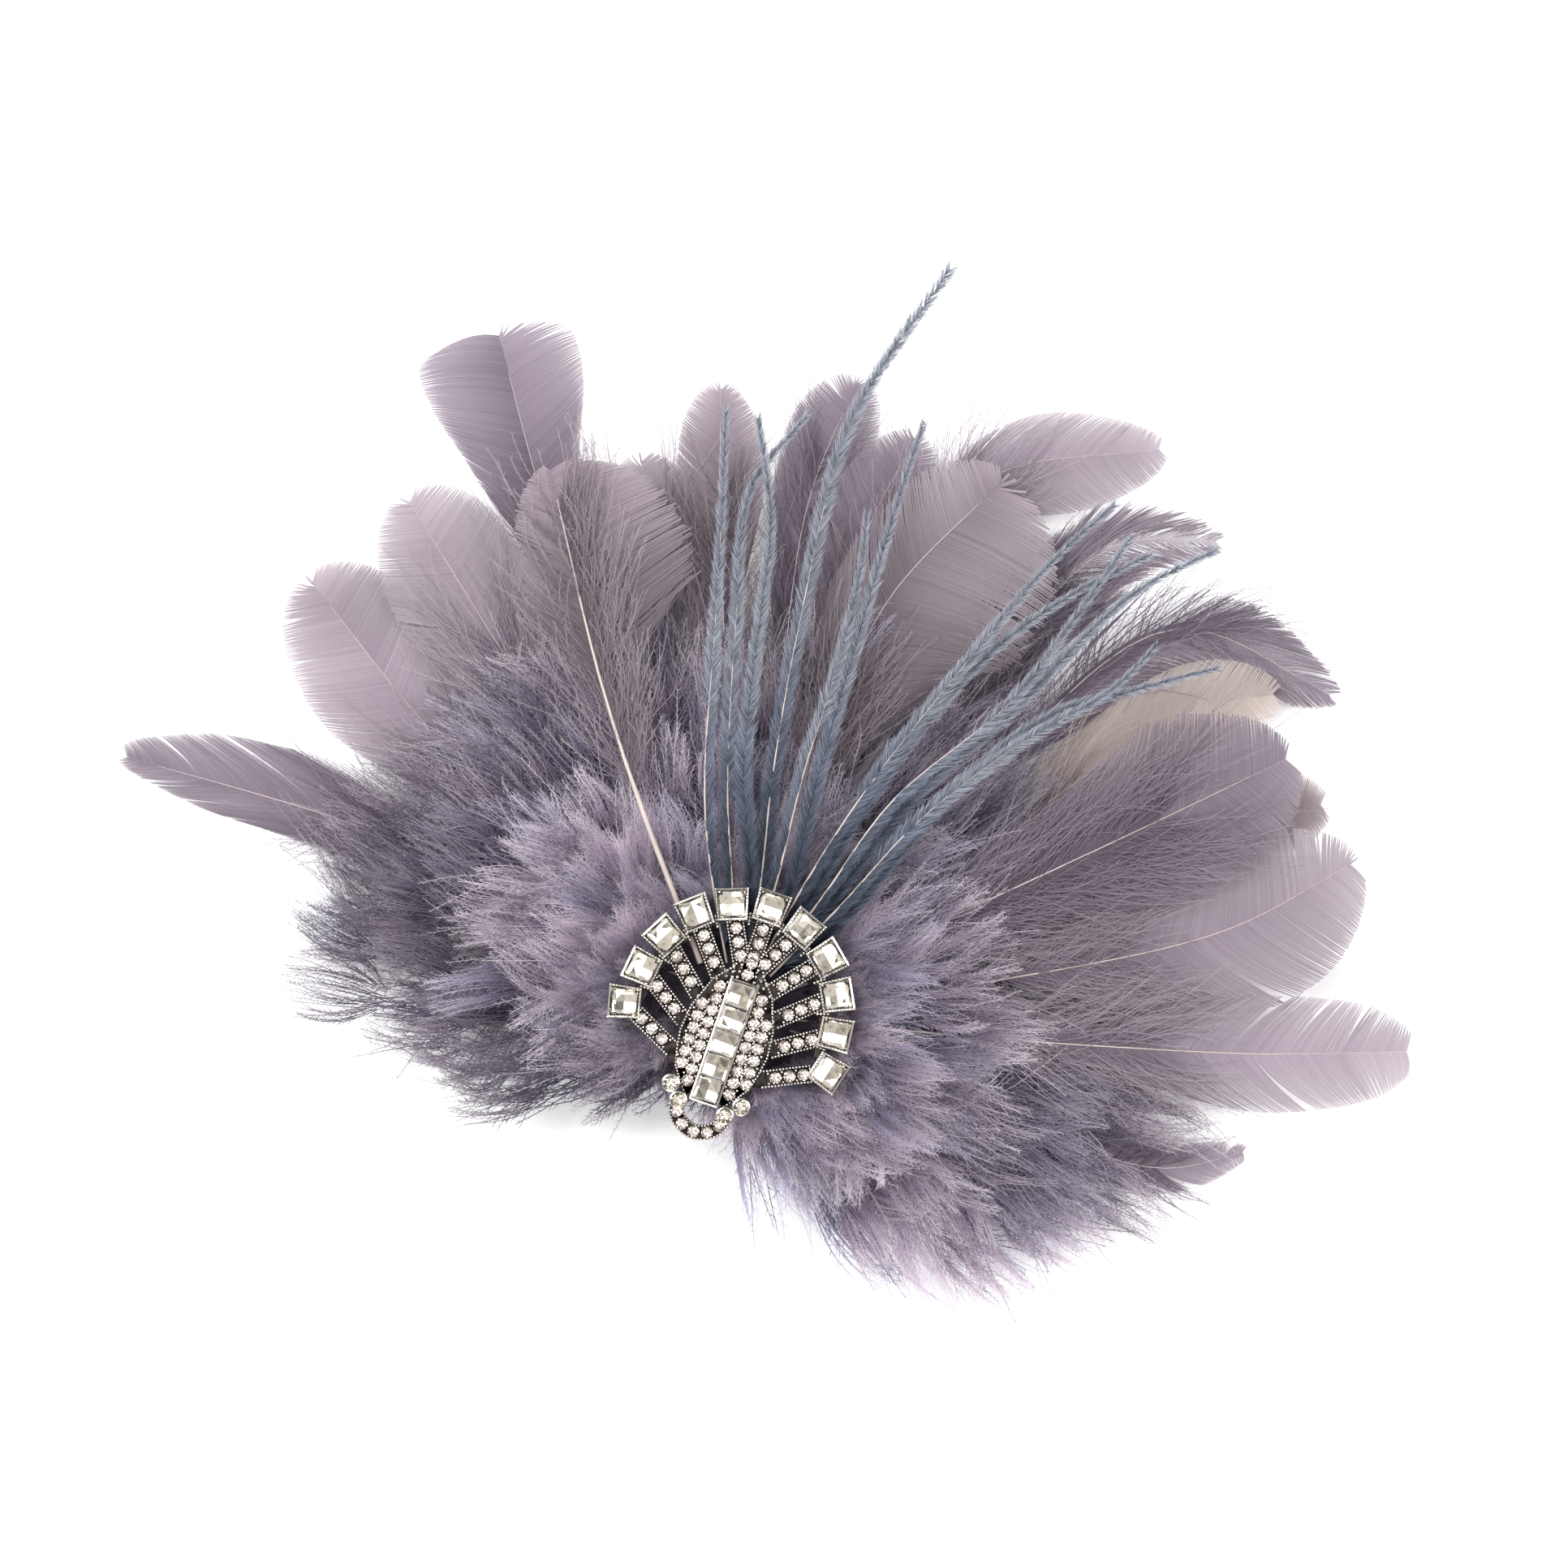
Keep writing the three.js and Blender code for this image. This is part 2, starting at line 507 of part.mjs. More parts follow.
function broochFrame() {
  const solids = [];
  const stones = [];
  const ribFirst = settingSide / 2 + ribStonePitch * 0.68;
  for (const row of settings) {
    const [x, y] = settingPlace(row);
    const cup = block(rectangle(settingSide, settingSide), 0, settingHeight);
    solids.push(solidOf(placed(cup, x, y, row.turn)));
    const foot = footOf(row);
    const inward = Math.hypot(foot[0] - x, foot[1] - y);
    solids.push(beam([x, y], foot, ribWidth, ribHeight));
    for (let k = 0; k < 3; k++) {
      const share = (ribFirst + k * ribStonePitch) / inward;
      stones.push([x + (foot[0] - x) * share, y + (foot[1] - y) * share, ribHeight]);
    }
  }
  for (let i = 0; i < settings.length - 1; i++) {
    const inner = (row) => polar(row.turn, rimRadius * row.out - settingSide * 0.4);
    solids.push(beam(inner(settings[i]), inner(settings[i + 1]), settingSide * 0.3, ribHeight));
  }
  solids.push(solidOf(block([...mirrored(fieldEdge.slice(1, -1).reverse())], 0, fieldHeight)));
  const barMiddle = barTop - barLength / 2;
  solids.push(solidOf(placed(block(rectangle(settingSide, barLength + settingWall * 2), 0, barHeight), 0, barMiddle)));
  const columnInner = settingSide / 2 + paveRadius * 1.15;
  const columnOuter = columnInner + paveRadius * 1.95;
  for (const side of [-1, 1]) {
    for (let k = 0; k < 10; k++) {
      stones.push([side * columnInner, barTop - innerPaveDrop - k * pavePitch * 0.97, fieldHeight]);
    }
    for (let k = 0; k < 6; k++) {
      stones.push([side * columnOuter, barTop - outerPaveDrop - k * pavePitch, fieldHeight]);
    }
  }
  stones.push([0, barTop + paveRadius * 1.75, fieldHeight]);

  // Loop at the foot and the four round bezels beside it
  const loopCentre = [0, barTop - barLength - loopDrop];
  const arc = new THREE.Shape();
  arc.absarc(0, 0, loopRadius + loopWidth / 2, Math.PI, 2 * Math.PI, false);
  arc.absarc(0, 0, loopRadius - loopWidth / 2, 2 * Math.PI, Math.PI, true);
  const loop = new THREE.ExtrudeGeometry(arc, { depth: loopHeight, bevelEnabled: false, curveSegments: 10 });
  solids.push(solidOf(loop.translate(loopCentre[0], loopCentre[1], 0)));
  for (let k = 0; k < 5; k++) {
    const turn = Math.PI * (1 + (k + 0.9) / 5.8);
    stones.push([
      loopCentre[0] + loopRadius * Math.cos(turn),
      loopCentre[1] + loopRadius * Math.sin(turn),
      loopHeight,
    ]);
  }
  for (const [x, y] of bezelPlaces) {
    solids.push(solidOf(block(polygon(bezelRadius, 12), 0, bezelHeight).translate(x, y, 0)));
    solids.push(beam([x, y], [x * 0.6, barTop - barLength * 0.93], bezelRadius, ribHeight));
  }

  let frame = join(solids);
  for (const [x, y, z] of stones) frame = frame.add(paveStone(x, y, z));

  // Pockets for the stones that are pieces of their own
  for (const row of settings) {
    const pocket = block(rectangle(pocketSide, pocketSide), floorThickness, settingHeight);
    frame = frame.subtract(solidOf(placed(pocket, ...settingPlace(row), row.turn)));
  }
  const channel = block(rectangle(pocketSide, barLength), floorThickness, barHeight);
  frame = frame.subtract(solidOf(placed(channel, 0, barMiddle)));
  for (const [x, y] of bezelPlaces) {
    const cup = block(polygon(bezelRadius - settingWall, 12), floorThickness, bezelHeight).translate(x, y, 0);
    frame = frame.subtract(solidOf(cup));
  }
  return geometryOf(frame);
}

const bezelPlaces = [
  [-fieldHalf * 0.71, barTop - barLength * 0.945],
  [-fieldHalf * 0.47, barTop - barLength * 1.055],
  [fieldHalf * 0.47, barTop - barLength * 1.055],
  [fieldHalf * 0.71, barTop - barLength * 0.945],
];

addPiece(brooch, 'brooch_frame', broochFrame(), antiqueSilver);

settings.forEach((row, i) => {
  const stone = addPiece(brooch, `rim_stone_${String(i + 1).padStart(2, '0')}`, squareStone(), clearStone);
  stone.position.set(...settingPlace(row), floorThickness + stoneGap);
  stone.rotation.z = THREE.MathUtils.degToRad(-row.turn);
});

for (let i = 0; i < barStones; i++) {
  const pitch = barLength / barStones;
  const stone = addPiece(brooch, `bar_stone_${i + 1}`, squareStone(), clearStone);
  stone.position.set(0, barTop - pitch * (i + 0.5), floorThickness + stoneGap + barHeight - settingHeight);
}

bezelPlaces.forEach(([x, y], i) => {
  const radius = bezelRadius - settingWall - stoneGap;
  const depth = bezelHeight - floorThickness - stoneGap - stoneGirdle;
  const geometry = cutStone(polygon(radius, 8), stoneCrown * 0.8, stoneGirdle, depth, 0.6);
  const stone = addPiece(brooch, `bezel_stone_${i + 1}`, geometry, clearStone);
  stone.position.set(x, y, floorThickness + stoneGap);
});

export default model;
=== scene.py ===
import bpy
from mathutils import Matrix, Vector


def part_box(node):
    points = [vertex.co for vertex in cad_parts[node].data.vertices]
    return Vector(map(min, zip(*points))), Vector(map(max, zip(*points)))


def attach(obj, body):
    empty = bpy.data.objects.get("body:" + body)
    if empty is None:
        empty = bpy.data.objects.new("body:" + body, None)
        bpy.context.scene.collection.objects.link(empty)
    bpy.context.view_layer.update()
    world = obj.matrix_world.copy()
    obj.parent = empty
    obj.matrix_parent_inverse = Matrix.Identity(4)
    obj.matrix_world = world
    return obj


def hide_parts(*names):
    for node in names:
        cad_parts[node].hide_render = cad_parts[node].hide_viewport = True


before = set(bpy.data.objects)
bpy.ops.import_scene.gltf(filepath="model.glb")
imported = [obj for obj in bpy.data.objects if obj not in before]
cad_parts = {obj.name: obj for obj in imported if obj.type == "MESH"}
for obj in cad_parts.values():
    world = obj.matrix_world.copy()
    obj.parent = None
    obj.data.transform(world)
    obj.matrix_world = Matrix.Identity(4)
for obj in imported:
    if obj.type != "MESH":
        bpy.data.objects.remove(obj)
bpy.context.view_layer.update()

import math

import bmesh
import bpy
import numpy as np
from mathutils import Matrix, Vector
from mathutils.bvhtree import BVHTree

mm = 0.001
up = Vector((0.0, 0.0, 1.0))


# stage: the camera straight above, as the photo was taken, over a plain pale table

stageSizes = {
    "photoWidth": 241.5,     # mm of table that the photo's frame shows
    "photoTurn": 19.135,     # the fan leans this much to the right in the photo
    "centre": (-4.3, 35.3),  # middle of the photo in the part's frame
    "lens": 100.0,
    "focusHeight": 12.0,     # mid height of the feathers
    "floorSize": 1600.0,
}


def makeCamera():
    size = stageSizes
    data = bpy.data.cameras.new("camera")
    data.lens = size["lens"]
    data.sensor_width = 36.0
    camera = bpy.data.objects.new("camera", data)
    bpy.context.scene.collection.objects.link(camera)
    distance = size["photoWidth"] * size["lens"] / data.sensor_width
    camera.location = (
        size["centre"][0] * mm,
        size["centre"][1] * mm,
        (size["focusHeight"] + distance) * mm,
    )
    camera.rotation_euler = (0.0, 0.0, math.radians(size["photoTurn"]))
    bpy.context.scene.camera = camera


def selectNone():
    for thing in bpy.context.selected_objects:
        thing.select_set(False)


def addLight(name, place, target, size, power):
    data = bpy.data.lights.new(name, "AREA")
    data.shape = "SQUARE"
    data.size = size
    data.energy = power
    light = bpy.data.objects.new(name, data)
    bpy.context.scene.collection.objects.link(light)
    light.location = place
    light.rotation_euler = (Vector(target) - Vector(place)).to_track_quat("-Z", "Y").to_euler()


def makeStage():
    selectNone()
    bpy.ops.mesh.primitive_plane_add(size=stageSizes["floorSize"] * mm, location=(0, 0, -0.05 * mm))
    floor = bpy.context.active_object
    floor.name = "floor"
    floor.data.materials.append(whiteTable())
    addLight("softboxLeft", (-0.75, 0.25, 0.85), (0, 0.03, 0), 0.7, 11.0)
    addLight("softboxRight", (0.7, 0.45, 0.9), (0, 0.03, 0), 0.6, 7.5)
    addLight("softboxFront", (0.15, -0.85, 0.8), (0, 0.03, 0), 0.6, 5.0)
    addLight("softboxTop", (-0.42, 0.38, 1.15), (0, 0.0, 0), 0.35, 3.0)
    world = bpy.context.scene.world or bpy.data.worlds.new("world")
    bpy.context.scene.world = world
    world.use_nodes = True
    tree = world.node_tree
    sky = addNode(tree, "ShaderNodeTexCoord")
    split = addNode(tree, "ShaderNodeSeparateXYZ", links={"Vector": sky.outputs["Generated"]})
    fade = {"From Min": 0.55, "From Max": 0.95, "To Min": 0.95, "To Max": 0.2}  # a white tent, dark on top
    zenith = addNode(tree, "ShaderNodeMapRange", fade, {"Value": split.outputs["Z"]})
    tree.links.new(zenith.outputs[0], tree.nodes["Background"].inputs["Strength"])
    tree.nodes["Background"].inputs["Color"].default_value = (1.0, 1.0, 1.0, 1.0)
    bpy.context.scene.view_settings.view_transform = "Standard"  # keeps the table white, as the photo's is


# materials: one function for colours, one that adds a node

def hexColor(code):
    values = [int(code[i:i + 2], 16) / 255 for i in (1, 3, 5)]
    linear = [v / 12.92 if v <= 0.04045 else ((v + 0.055) / 1.055) ** 2.4 for v in values]
    return (*linear, 1.0)


def addNode(tree, kind, settings=None, links=None):
    node = tree.nodes.new(kind)
    for key, value in (settings or {}).items():
        if isinstance(key, int) or key in node.inputs:
            node.inputs[key].default_value = value
        else:
            setattr(node, key, value)
    for key, output in (links or {}).items():
        tree.links.new(output, node.inputs[key])
    return node


def newMaterial(name):
    material = bpy.data.materials.new(name)
    material.use_nodes = True
    tree = material.node_tree
    return material, tree, tree.nodes["Principled BSDF"]


def whiteTable():
    # matt white acrylic sheet: even, no visible grain
    material, _, shader = newMaterial("whiteTable")
    shader.inputs["Base Color"].default_value = hexColor("#fbfbfb")
    shader.inputs["Roughness"].default_value = 0.9
    shader.inputs["Specular IOR Level"].default_value = 0.0
    return material


def dyedAndShadedFeather(name, stops, darkDyeAndShade, throughput, sheen=0.2):
    # keratin barbs dyed in the bath: matt, a little silky, they let light through and take the dye unevenly
    # the strands' map gives the place from root to tip in X, and in Y how dark the strand is painted: the
    # dye's uneven take together with painted shade
    material, tree, shader = newMaterial(name)
    chart = addNode(tree, "ShaderNodeUVMap", {"uv_map": "OFBake"})
    split = addNode(tree, "ShaderNodeSeparateXYZ", links={"Vector": chart.outputs["UV"]})
    along = addNode(tree, "ShaderNodeValToRGB", links={"Fac": split.outputs["X"]})
    ramp = along.color_ramp
    while len(ramp.elements) < len(stops):
        ramp.elements.new(0.5)
    for element, (place, colour) in zip(ramp.elements, stops):
        element.position = place
        element.color = hexColor(colour)
    # the dark end of this mix is deep dye and painted shade
    tone = addNode(tree, "ShaderNodeMix", {"data_type": "RGBA"}, {"Factor": split.outputs["Y"]})
    tone.inputs[6].default_value = hexColor(darkDyeAndShade)
    tree.links.new(along.outputs[0], tone.inputs[7])
    tree.links.new(tone.outputs[2], shader.inputs["Base Color"])
    shader.inputs["Roughness"].default_value = 0.65
    shader.inputs["Specular IOR Level"].default_value = 0.3
    shader.inputs["Sheen Weight"].default_value = sheen
    shader.inputs["Sheen Roughness"].default_value = 0.4
    through = addNode(tree, "ShaderNodeBsdfTranslucent", links={"Color": tone.outputs[2]})
    both = addNode(tree, "ShaderNodeMixShader", {"Fac": throughput})
    tree.links.new(shader.outputs[0], both.inputs[1])
    tree.links.new(through.outputs[0], both.inputs[2])
    tree.links.new(both.outputs[0], tree.nodes["Material Output"].inputs["Surface"])
    return material


def featherQuill():
    # bare shaft of a pale feather: waxy cream keratin, half glossy
    material, tree, shader = newMaterial("creamQuill")
    spot = addNode(tree, "ShaderNodeTexCoord")
    wax = {"Scale": 180.0, "Detail": 3.0}
    noise = addNode(tree, "ShaderNodeTexNoise", wax, {"Vector": spot.outputs["Object"]})
    mix = addNode(tree, "ShaderNodeMix", {"data_type": "RGBA"}, {"Factor": noise.outputs["Fac"]})
    mix.inputs[6].default_value = hexColor("#a99b96")
    mix.inputs[7].default_value = hexColor("#cfc2b9")
    tree.links.new(mix.outputs[2], shader.inputs["Base Color"])
    shader.inputs["Roughness"].default_value = 0.4
    return material


# height maps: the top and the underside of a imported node, so that what replaces it lies where it lies

class HeightMap:
    def __init__(self, node, top, step=1.5):
        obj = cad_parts[node]
        mesh = obj.data
        points = [obj.matrix_world @ v.co for v in mesh.vertices]
        faces = [tuple(p.vertices) for p in mesh.polygons]
        tree = BVHTree.FromPolygons(points, faces)
        low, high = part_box(node)
        self.x0, self.y0 = low[0] / mm, low[1] / mm
        nx = max(2, int((high[0] - low[0]) / mm / step) + 2)
        ny = max(2, int((high[1] - low[1]) / mm / step) + 2)
        self.step = step
        grid = np.full((nx, ny), np.nan)
        start = 0.2 if top else -0.2
        for i in range(nx):
            for j in range(ny):
                place = Vector(((self.x0 + i * step) * mm, (self.y0 + j * step) * mm, start))
                hit = tree.ray_cast(place, -up if top else up)
                if hit[0] is not None:
                    grid[i, j] = hit[0].z / mm
        while np.isnan(grid).any():  # spread the known heights over the ground outside the solid
            padded = np.pad(grid, 1, constant_values=np.nan)
            sides = [padded[:-2, 1:-1], padded[2:, 1:-1], padded[1:-1, :-2], padded[1:-1, 2:]]
            counts = sum((~np.isnan(s)).astype(float) for s in sides)
            total = sum(np.nan_to_num(s) for s in sides)
            fill = np.isnan(grid) & (counts > 0)
            grid[fill] = total[fill] / counts[fill]
        self.grid = grid

    def at(self, x, y):
        u = np.clip((x - self.x0) / self.step, 0, self.grid.shape[0] - 1.001)
        v = np.clip((y - self.y0) / self.step, 0, self.grid.shape[1] - 1.001)
        i, j = u.astype(int), v.astype(int)
        fu, fv = u - i, v - j
        g = self.grid
        low = g[i, j] * (1 - fu) + g[i + 1, j] * fu
        high = g[i, j + 1] * (1 - fu) + g[i + 1, j + 1] * fu
        return low * (1 - fv) + high * fv


# curves and strands

def polar(degrees, radius):
    turn = np.radians(degrees)
    return np.stack([radius * np.sin(turn), radius * np.cos(turn)], axis=-1)


def makeRoute(points):
    # a smooth line through a few points, with its place and heading at any share of its length
    points = np.array(points, float)
    gaps = np.linalg.norm(np.diff(points, axis=0), axis=1) ** 0.5
    knots = np.concatenate([[0.0], np.cumsum(gaps)])
    slopes = np.gradient(points, knots, axis=0)
    t = np.linspace(0, knots[-1], 400)
    k = np.clip(np.searchsorted(knots, t, side="right") - 1, 0, len(knots) - 2)
    span = (knots[k + 1] - knots[k])[:, None]
    u = (t - knots[k])[:, None] / span
    place = (2 * u**3 - 3 * u**2 + 1) * points[k] + (u**3 - 2 * u**2 + u) * span * slopes[k]
    place += (3 * u**2 - 2 * u**3) * points[k + 1] + (u**3 - u**2) * span * slopes[k + 1]
    run = np.concatenate([[0.0], np.cumsum(np.linalg.norm(np.diff(place, axis=0), axis=1))])
    heading = np.gradient(place, run, axis=0)
    heading /= np.linalg.norm(heading, axis=1, keepdims=True)
    return {"length": run[-1], "share": run / run[-1], "place": place, "heading": heading}


def onRoute(route, share):
    place = np.stack([np.interp(share, route["share"], route["place"][:, k]) for k in (0, 1)], axis=-1)
    heading = np.stack([np.interp(share, route["share"], route["heading"][:, k]) for k in (0, 1)], axis=-1)
    return place, heading


def leftOf(heading):
    return np.stack([-heading[..., 1], heading[..., 0]], axis=-1)


def turned(vectors, angles):
    x, y = vectors[..., 0], vectors[..., 1]
    c, s = np.cos(angles), np.sin(angles)
    return np.stack([x * c - y * s, x * s + y * c], axis=-1)


def bezier(a, b, c, u):
    # quadratic curves from a by b to c; u runs over the middle axis
    return (1 - u) ** 2 * a + 2 * u * (1 - u) * b + u**2 * c


def ribbonPart(centres, halves, along, tone):
    # flat strips: centres and half widths are (strip, point, xyz), the face looks up when halves point right
    n, m = centres.shape[:2]
    points = np.stack([centres - halves, centres + halves], axis=2).reshape(-1, 3)
    base = ((np.arange(n)[:, None] * m + np.arange(m - 1)[None, :]) * 2).ravel()
    quads = np.stack([base, base + 1, base + 3, base + 2], axis=-1)
    chart = np.stack(np.broadcast_arrays(along, tone), axis=-1)
    chart = np.repeat(chart.reshape(-1, 2), 2, axis=0)
    return {"points": points, "faces": quads, "chart": chart, "slot": 0}


def trianglePart(corners, along, tone):
    # loose barbules: corners are (triangle, 3, xyz); each gets a small patch of the map
    n = len(corners)
    faces = np.arange(n * 3).reshape(n, 3)
    patch = np.array([[0.0, 0.0], [0.004, 0.0], [0.0, 0.004]])
    chart = np.stack([along, tone], axis=-1)[:, None] + patch[None]
    return {"points": corners.reshape(-1, 3), "faces": faces, "chart": chart.reshape(-1, 2), "slot": 0}


furFrom = 0.08    # share of a barb that is bare of barbules
furLight = 0.92   # barbules against their barb
dimmest, brightest = 0.08, 0.99  # tones that the strands' map may hold


def furBarbs(curve, count, fur, light, rng, half=0.0):
    # barbs along a curve, each furred with barbules; curve(u) gives x, y, z and the painted light at (barb,
    # place)
    # half is where the barbs' dye starts in the map
    u = np.linspace(0, 1, fur["points"])[None, :] * np.ones((count, 1))
    found = curve(u)
    centres, lit = found[..., :3], found[..., 3]
    ahead = np.gradient(centres, axis=1)
    ahead /= np.maximum(np.linalg.norm(ahead, axis=-1, keepdims=True), 1e-6)
    right = np.cross(ahead, [0.0, 0.0, 1.0])
    right[..., 2] += rng.normal(0, 0.4, (count, 1))
    broad = fur["width"] / 2 * (1 - 0.6 * u)
    half = np.broadcast_to(half, (count,))[:, None]
    reach = 0.49 if fur.get("twoTone") else 1.0
    shade = np.clip(light[:, None] * lit, dimmest, brightest)
    parts = [ribbonPart(centres, right * broad[..., None], half + reach * (0.05 + 0.95 * u), shade)]
    k = fur["barbules"]
    spots = furFrom + (0.99 - furFrom) * (np.arange(k) + rng.uniform(0.1, 0.9, (count, k))) / k
    found = curve(spots)
    base, lit = found[..., :3], found[..., 3]
    heading = curve(spots + 0.02)[..., :3] - base
    heading /= np.maximum(np.linalg.norm(heading, axis=-1, keepdims=True), 1e-6)
    side = np.where(np.arange(k) % 2 == 0, 1.0, -1.0)[None, :]
    angle = side * np.radians(rng.normal(fur["angle"], 9, (count, k)))
    flat = turned(heading[..., :2], angle)
    lift = heading[..., 2] + rng.normal(0.06, fur["lift"], (count, k))
    length = fur["furLength"] * (1.15 - 0.55 * spots) * rng.uniform(0.5, 1.2, (count, k))
    point = base + np.concatenate([flat, lift[..., None]], axis=-1) * length[..., None]
    wide = heading * fur["furWidth"] / 2 * side[..., None]
    corners = np.stack([base - wide, base + wide, point], axis=2)
    shade = light[:, None] * lit * furLight + rng.normal(0, 0.05, (count, k))
    shade = np.clip(shade, dimmest, brightest)
    along = half + reach * (0.05 + 0.93 * spots)
    parts.append(trianglePart(corners.reshape(-1, 3, 3), along.ravel(), shade.ravel()))
    return parts


def tubePart(centres, radii, sides, slot):
    # a tapered tube along 3-D centres
    ahead = np.gradient(centres, axis=0)
    ahead /= np.linalg.norm(ahead, axis=1, keepdims=True)
    across = np.cross(ahead, [0.0, 0.0, 1.0])
    across /= np.linalg.norm(across, axis=1, keepdims=True)
    over = np.cross(across, ahead)
    turns = np.linspace(0, 2 * np.pi, sides, endpoint=False)
    ring = across[:, None] * np.cos(turns)[None, :, None] + over[:, None] * np.sin(turns)[None, :, None]
    points = (centres[:, None] + ring * radii[:, None, None]).reshape(-1, 3)
    i, j = np.meshgrid(np.arange(len(centres) - 1), np.arange(sides), indexing="ij")
    here, beside = i * sides + j, i * sides + (j + 1) % sides
    quads = np.stack([here, beside, beside + sides, here + sides], axis=-1).reshape(-1, 4)
    run = np.linspace(0, 1, len(centres))[:, None] * np.ones((1, sides))
    around = np.abs(np.linspace(-1, 1, sides, endpoint=False))[None, :]
    turn = 0.005 + 0.045 * around * np.ones((len(centres), 1))
    chart = np.stack([run, turn], axis=-1).reshape(-1, 2)  # a strip of the map below the barbs'
    return {"points": points, "faces": quads, "chart": chart, "slot": slot}


def meshPiece(name, parts, materials, smooth=True):
    # joins the arrays of strips, barbules and shafts into one mesh
    mesh = bpy.data.meshes.new(name)
    points = np.concatenate([part["points"] for part in parts])
    charts = np.concatenate([part["chart"] for part in parts])
    loops, starts, slots, offset, start = [], [], [], 0, 0
    for part in parts:
        faces = part["faces"] + offset
        loops.append(faces.ravel())
        starts.append(start + np.arange(len(faces)) * faces.shape[1])
        slots.append(np.full(len(faces), part["slot"]))
        offset += len(part["points"])
        start += faces.size
    loops, starts, slots = np.concatenate(loops), np.concatenate(starts), np.concatenate(slots)
    mesh.vertices.add(len(points))
    mesh.vertices.foreach_set("co", (points * mm).astype(np.float32).ravel())
    mesh.loops.add(len(loops))
    mesh.loops.foreach_set("vertex_index", loops.astype(np.int32))
    mesh.polygons.add(len(starts))
    mesh.polygons.foreach_set("loop_start", starts.astype(np.int32))
    for material in materials:
        mesh.materials.append(material)
    mesh.polygons.foreach_set("material_index", slots.astype(np.int32))
    mesh.update(calc_edges=True)
    layer = mesh.uv_layers.new(name="OFBake")
    layer.data.foreach_set("uv", charts[loops].astype(np.float32).ravel())
    if smooth:
        mesh.shade_smooth()
    piece = bpy.data.objects.new(name, mesh)
    bpy.context.scene.collection.objects.link(piece)
    return piece


def finishPiece(piece, slotName, *nodes):
    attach(piece, "root")
    if nodes:
        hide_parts(*nodes)


# flat feathers: barbs on both sides of a quill

featherSizes = {
    "reach": 106.0,        # mm from the brooch's centre to the longest flat feathers' tips
    "width": 28.0,         # the broadest vanes
    "root": 9.0,           # where the shafts leave the glue
    "barbSpacing": 0.3,
    "barbPoints": 7,
    "coverage": 1.08,      # a barb's width as a share of the gap to the next one
    "advance": 0.3,        # how far the barbs lean towards the tip
    "quillRadius": 0.2,
    "seat": 0.3,           # above the underside of the solid that a vane replaces
    "lowest": 0.12,        # above the table
    "narrowest": 0.04,     # half the least width of a barb before its point
}


def smoothStep(x, low, high):
    u = np.clip((x - low) / (high - low), 0, 1)
    return u * u * (3 - 2 * u)


def vaneHalf(share, bare, widest):
    along = (share - bare) / (1 - bare)
    rising = smoothStep(along, -0.05, widest)
    falling = np.sqrt(np.clip(1 - ((along - widest) / (1 - widest)) ** 2, 0, 1))
    return np.where(along <= 0, 0, np.where(along < widest, rising, falling))


def splitPlaces(count, row, rng):
    # barbs hold together between the vane's splits: each one's share, its clump and the clump's middle
    cuts = np.sort(rng.uniform(0.12, 0.95, row.get("clumps", 3)))
    share = np.linspace(0, 1, count)
    number = np.searchsorted(cuts, share)
    edges = np.concatenate([[0.0], cuts, [1.0]])
    return share, number, (edges[number] + edges[number + 1]) / 2


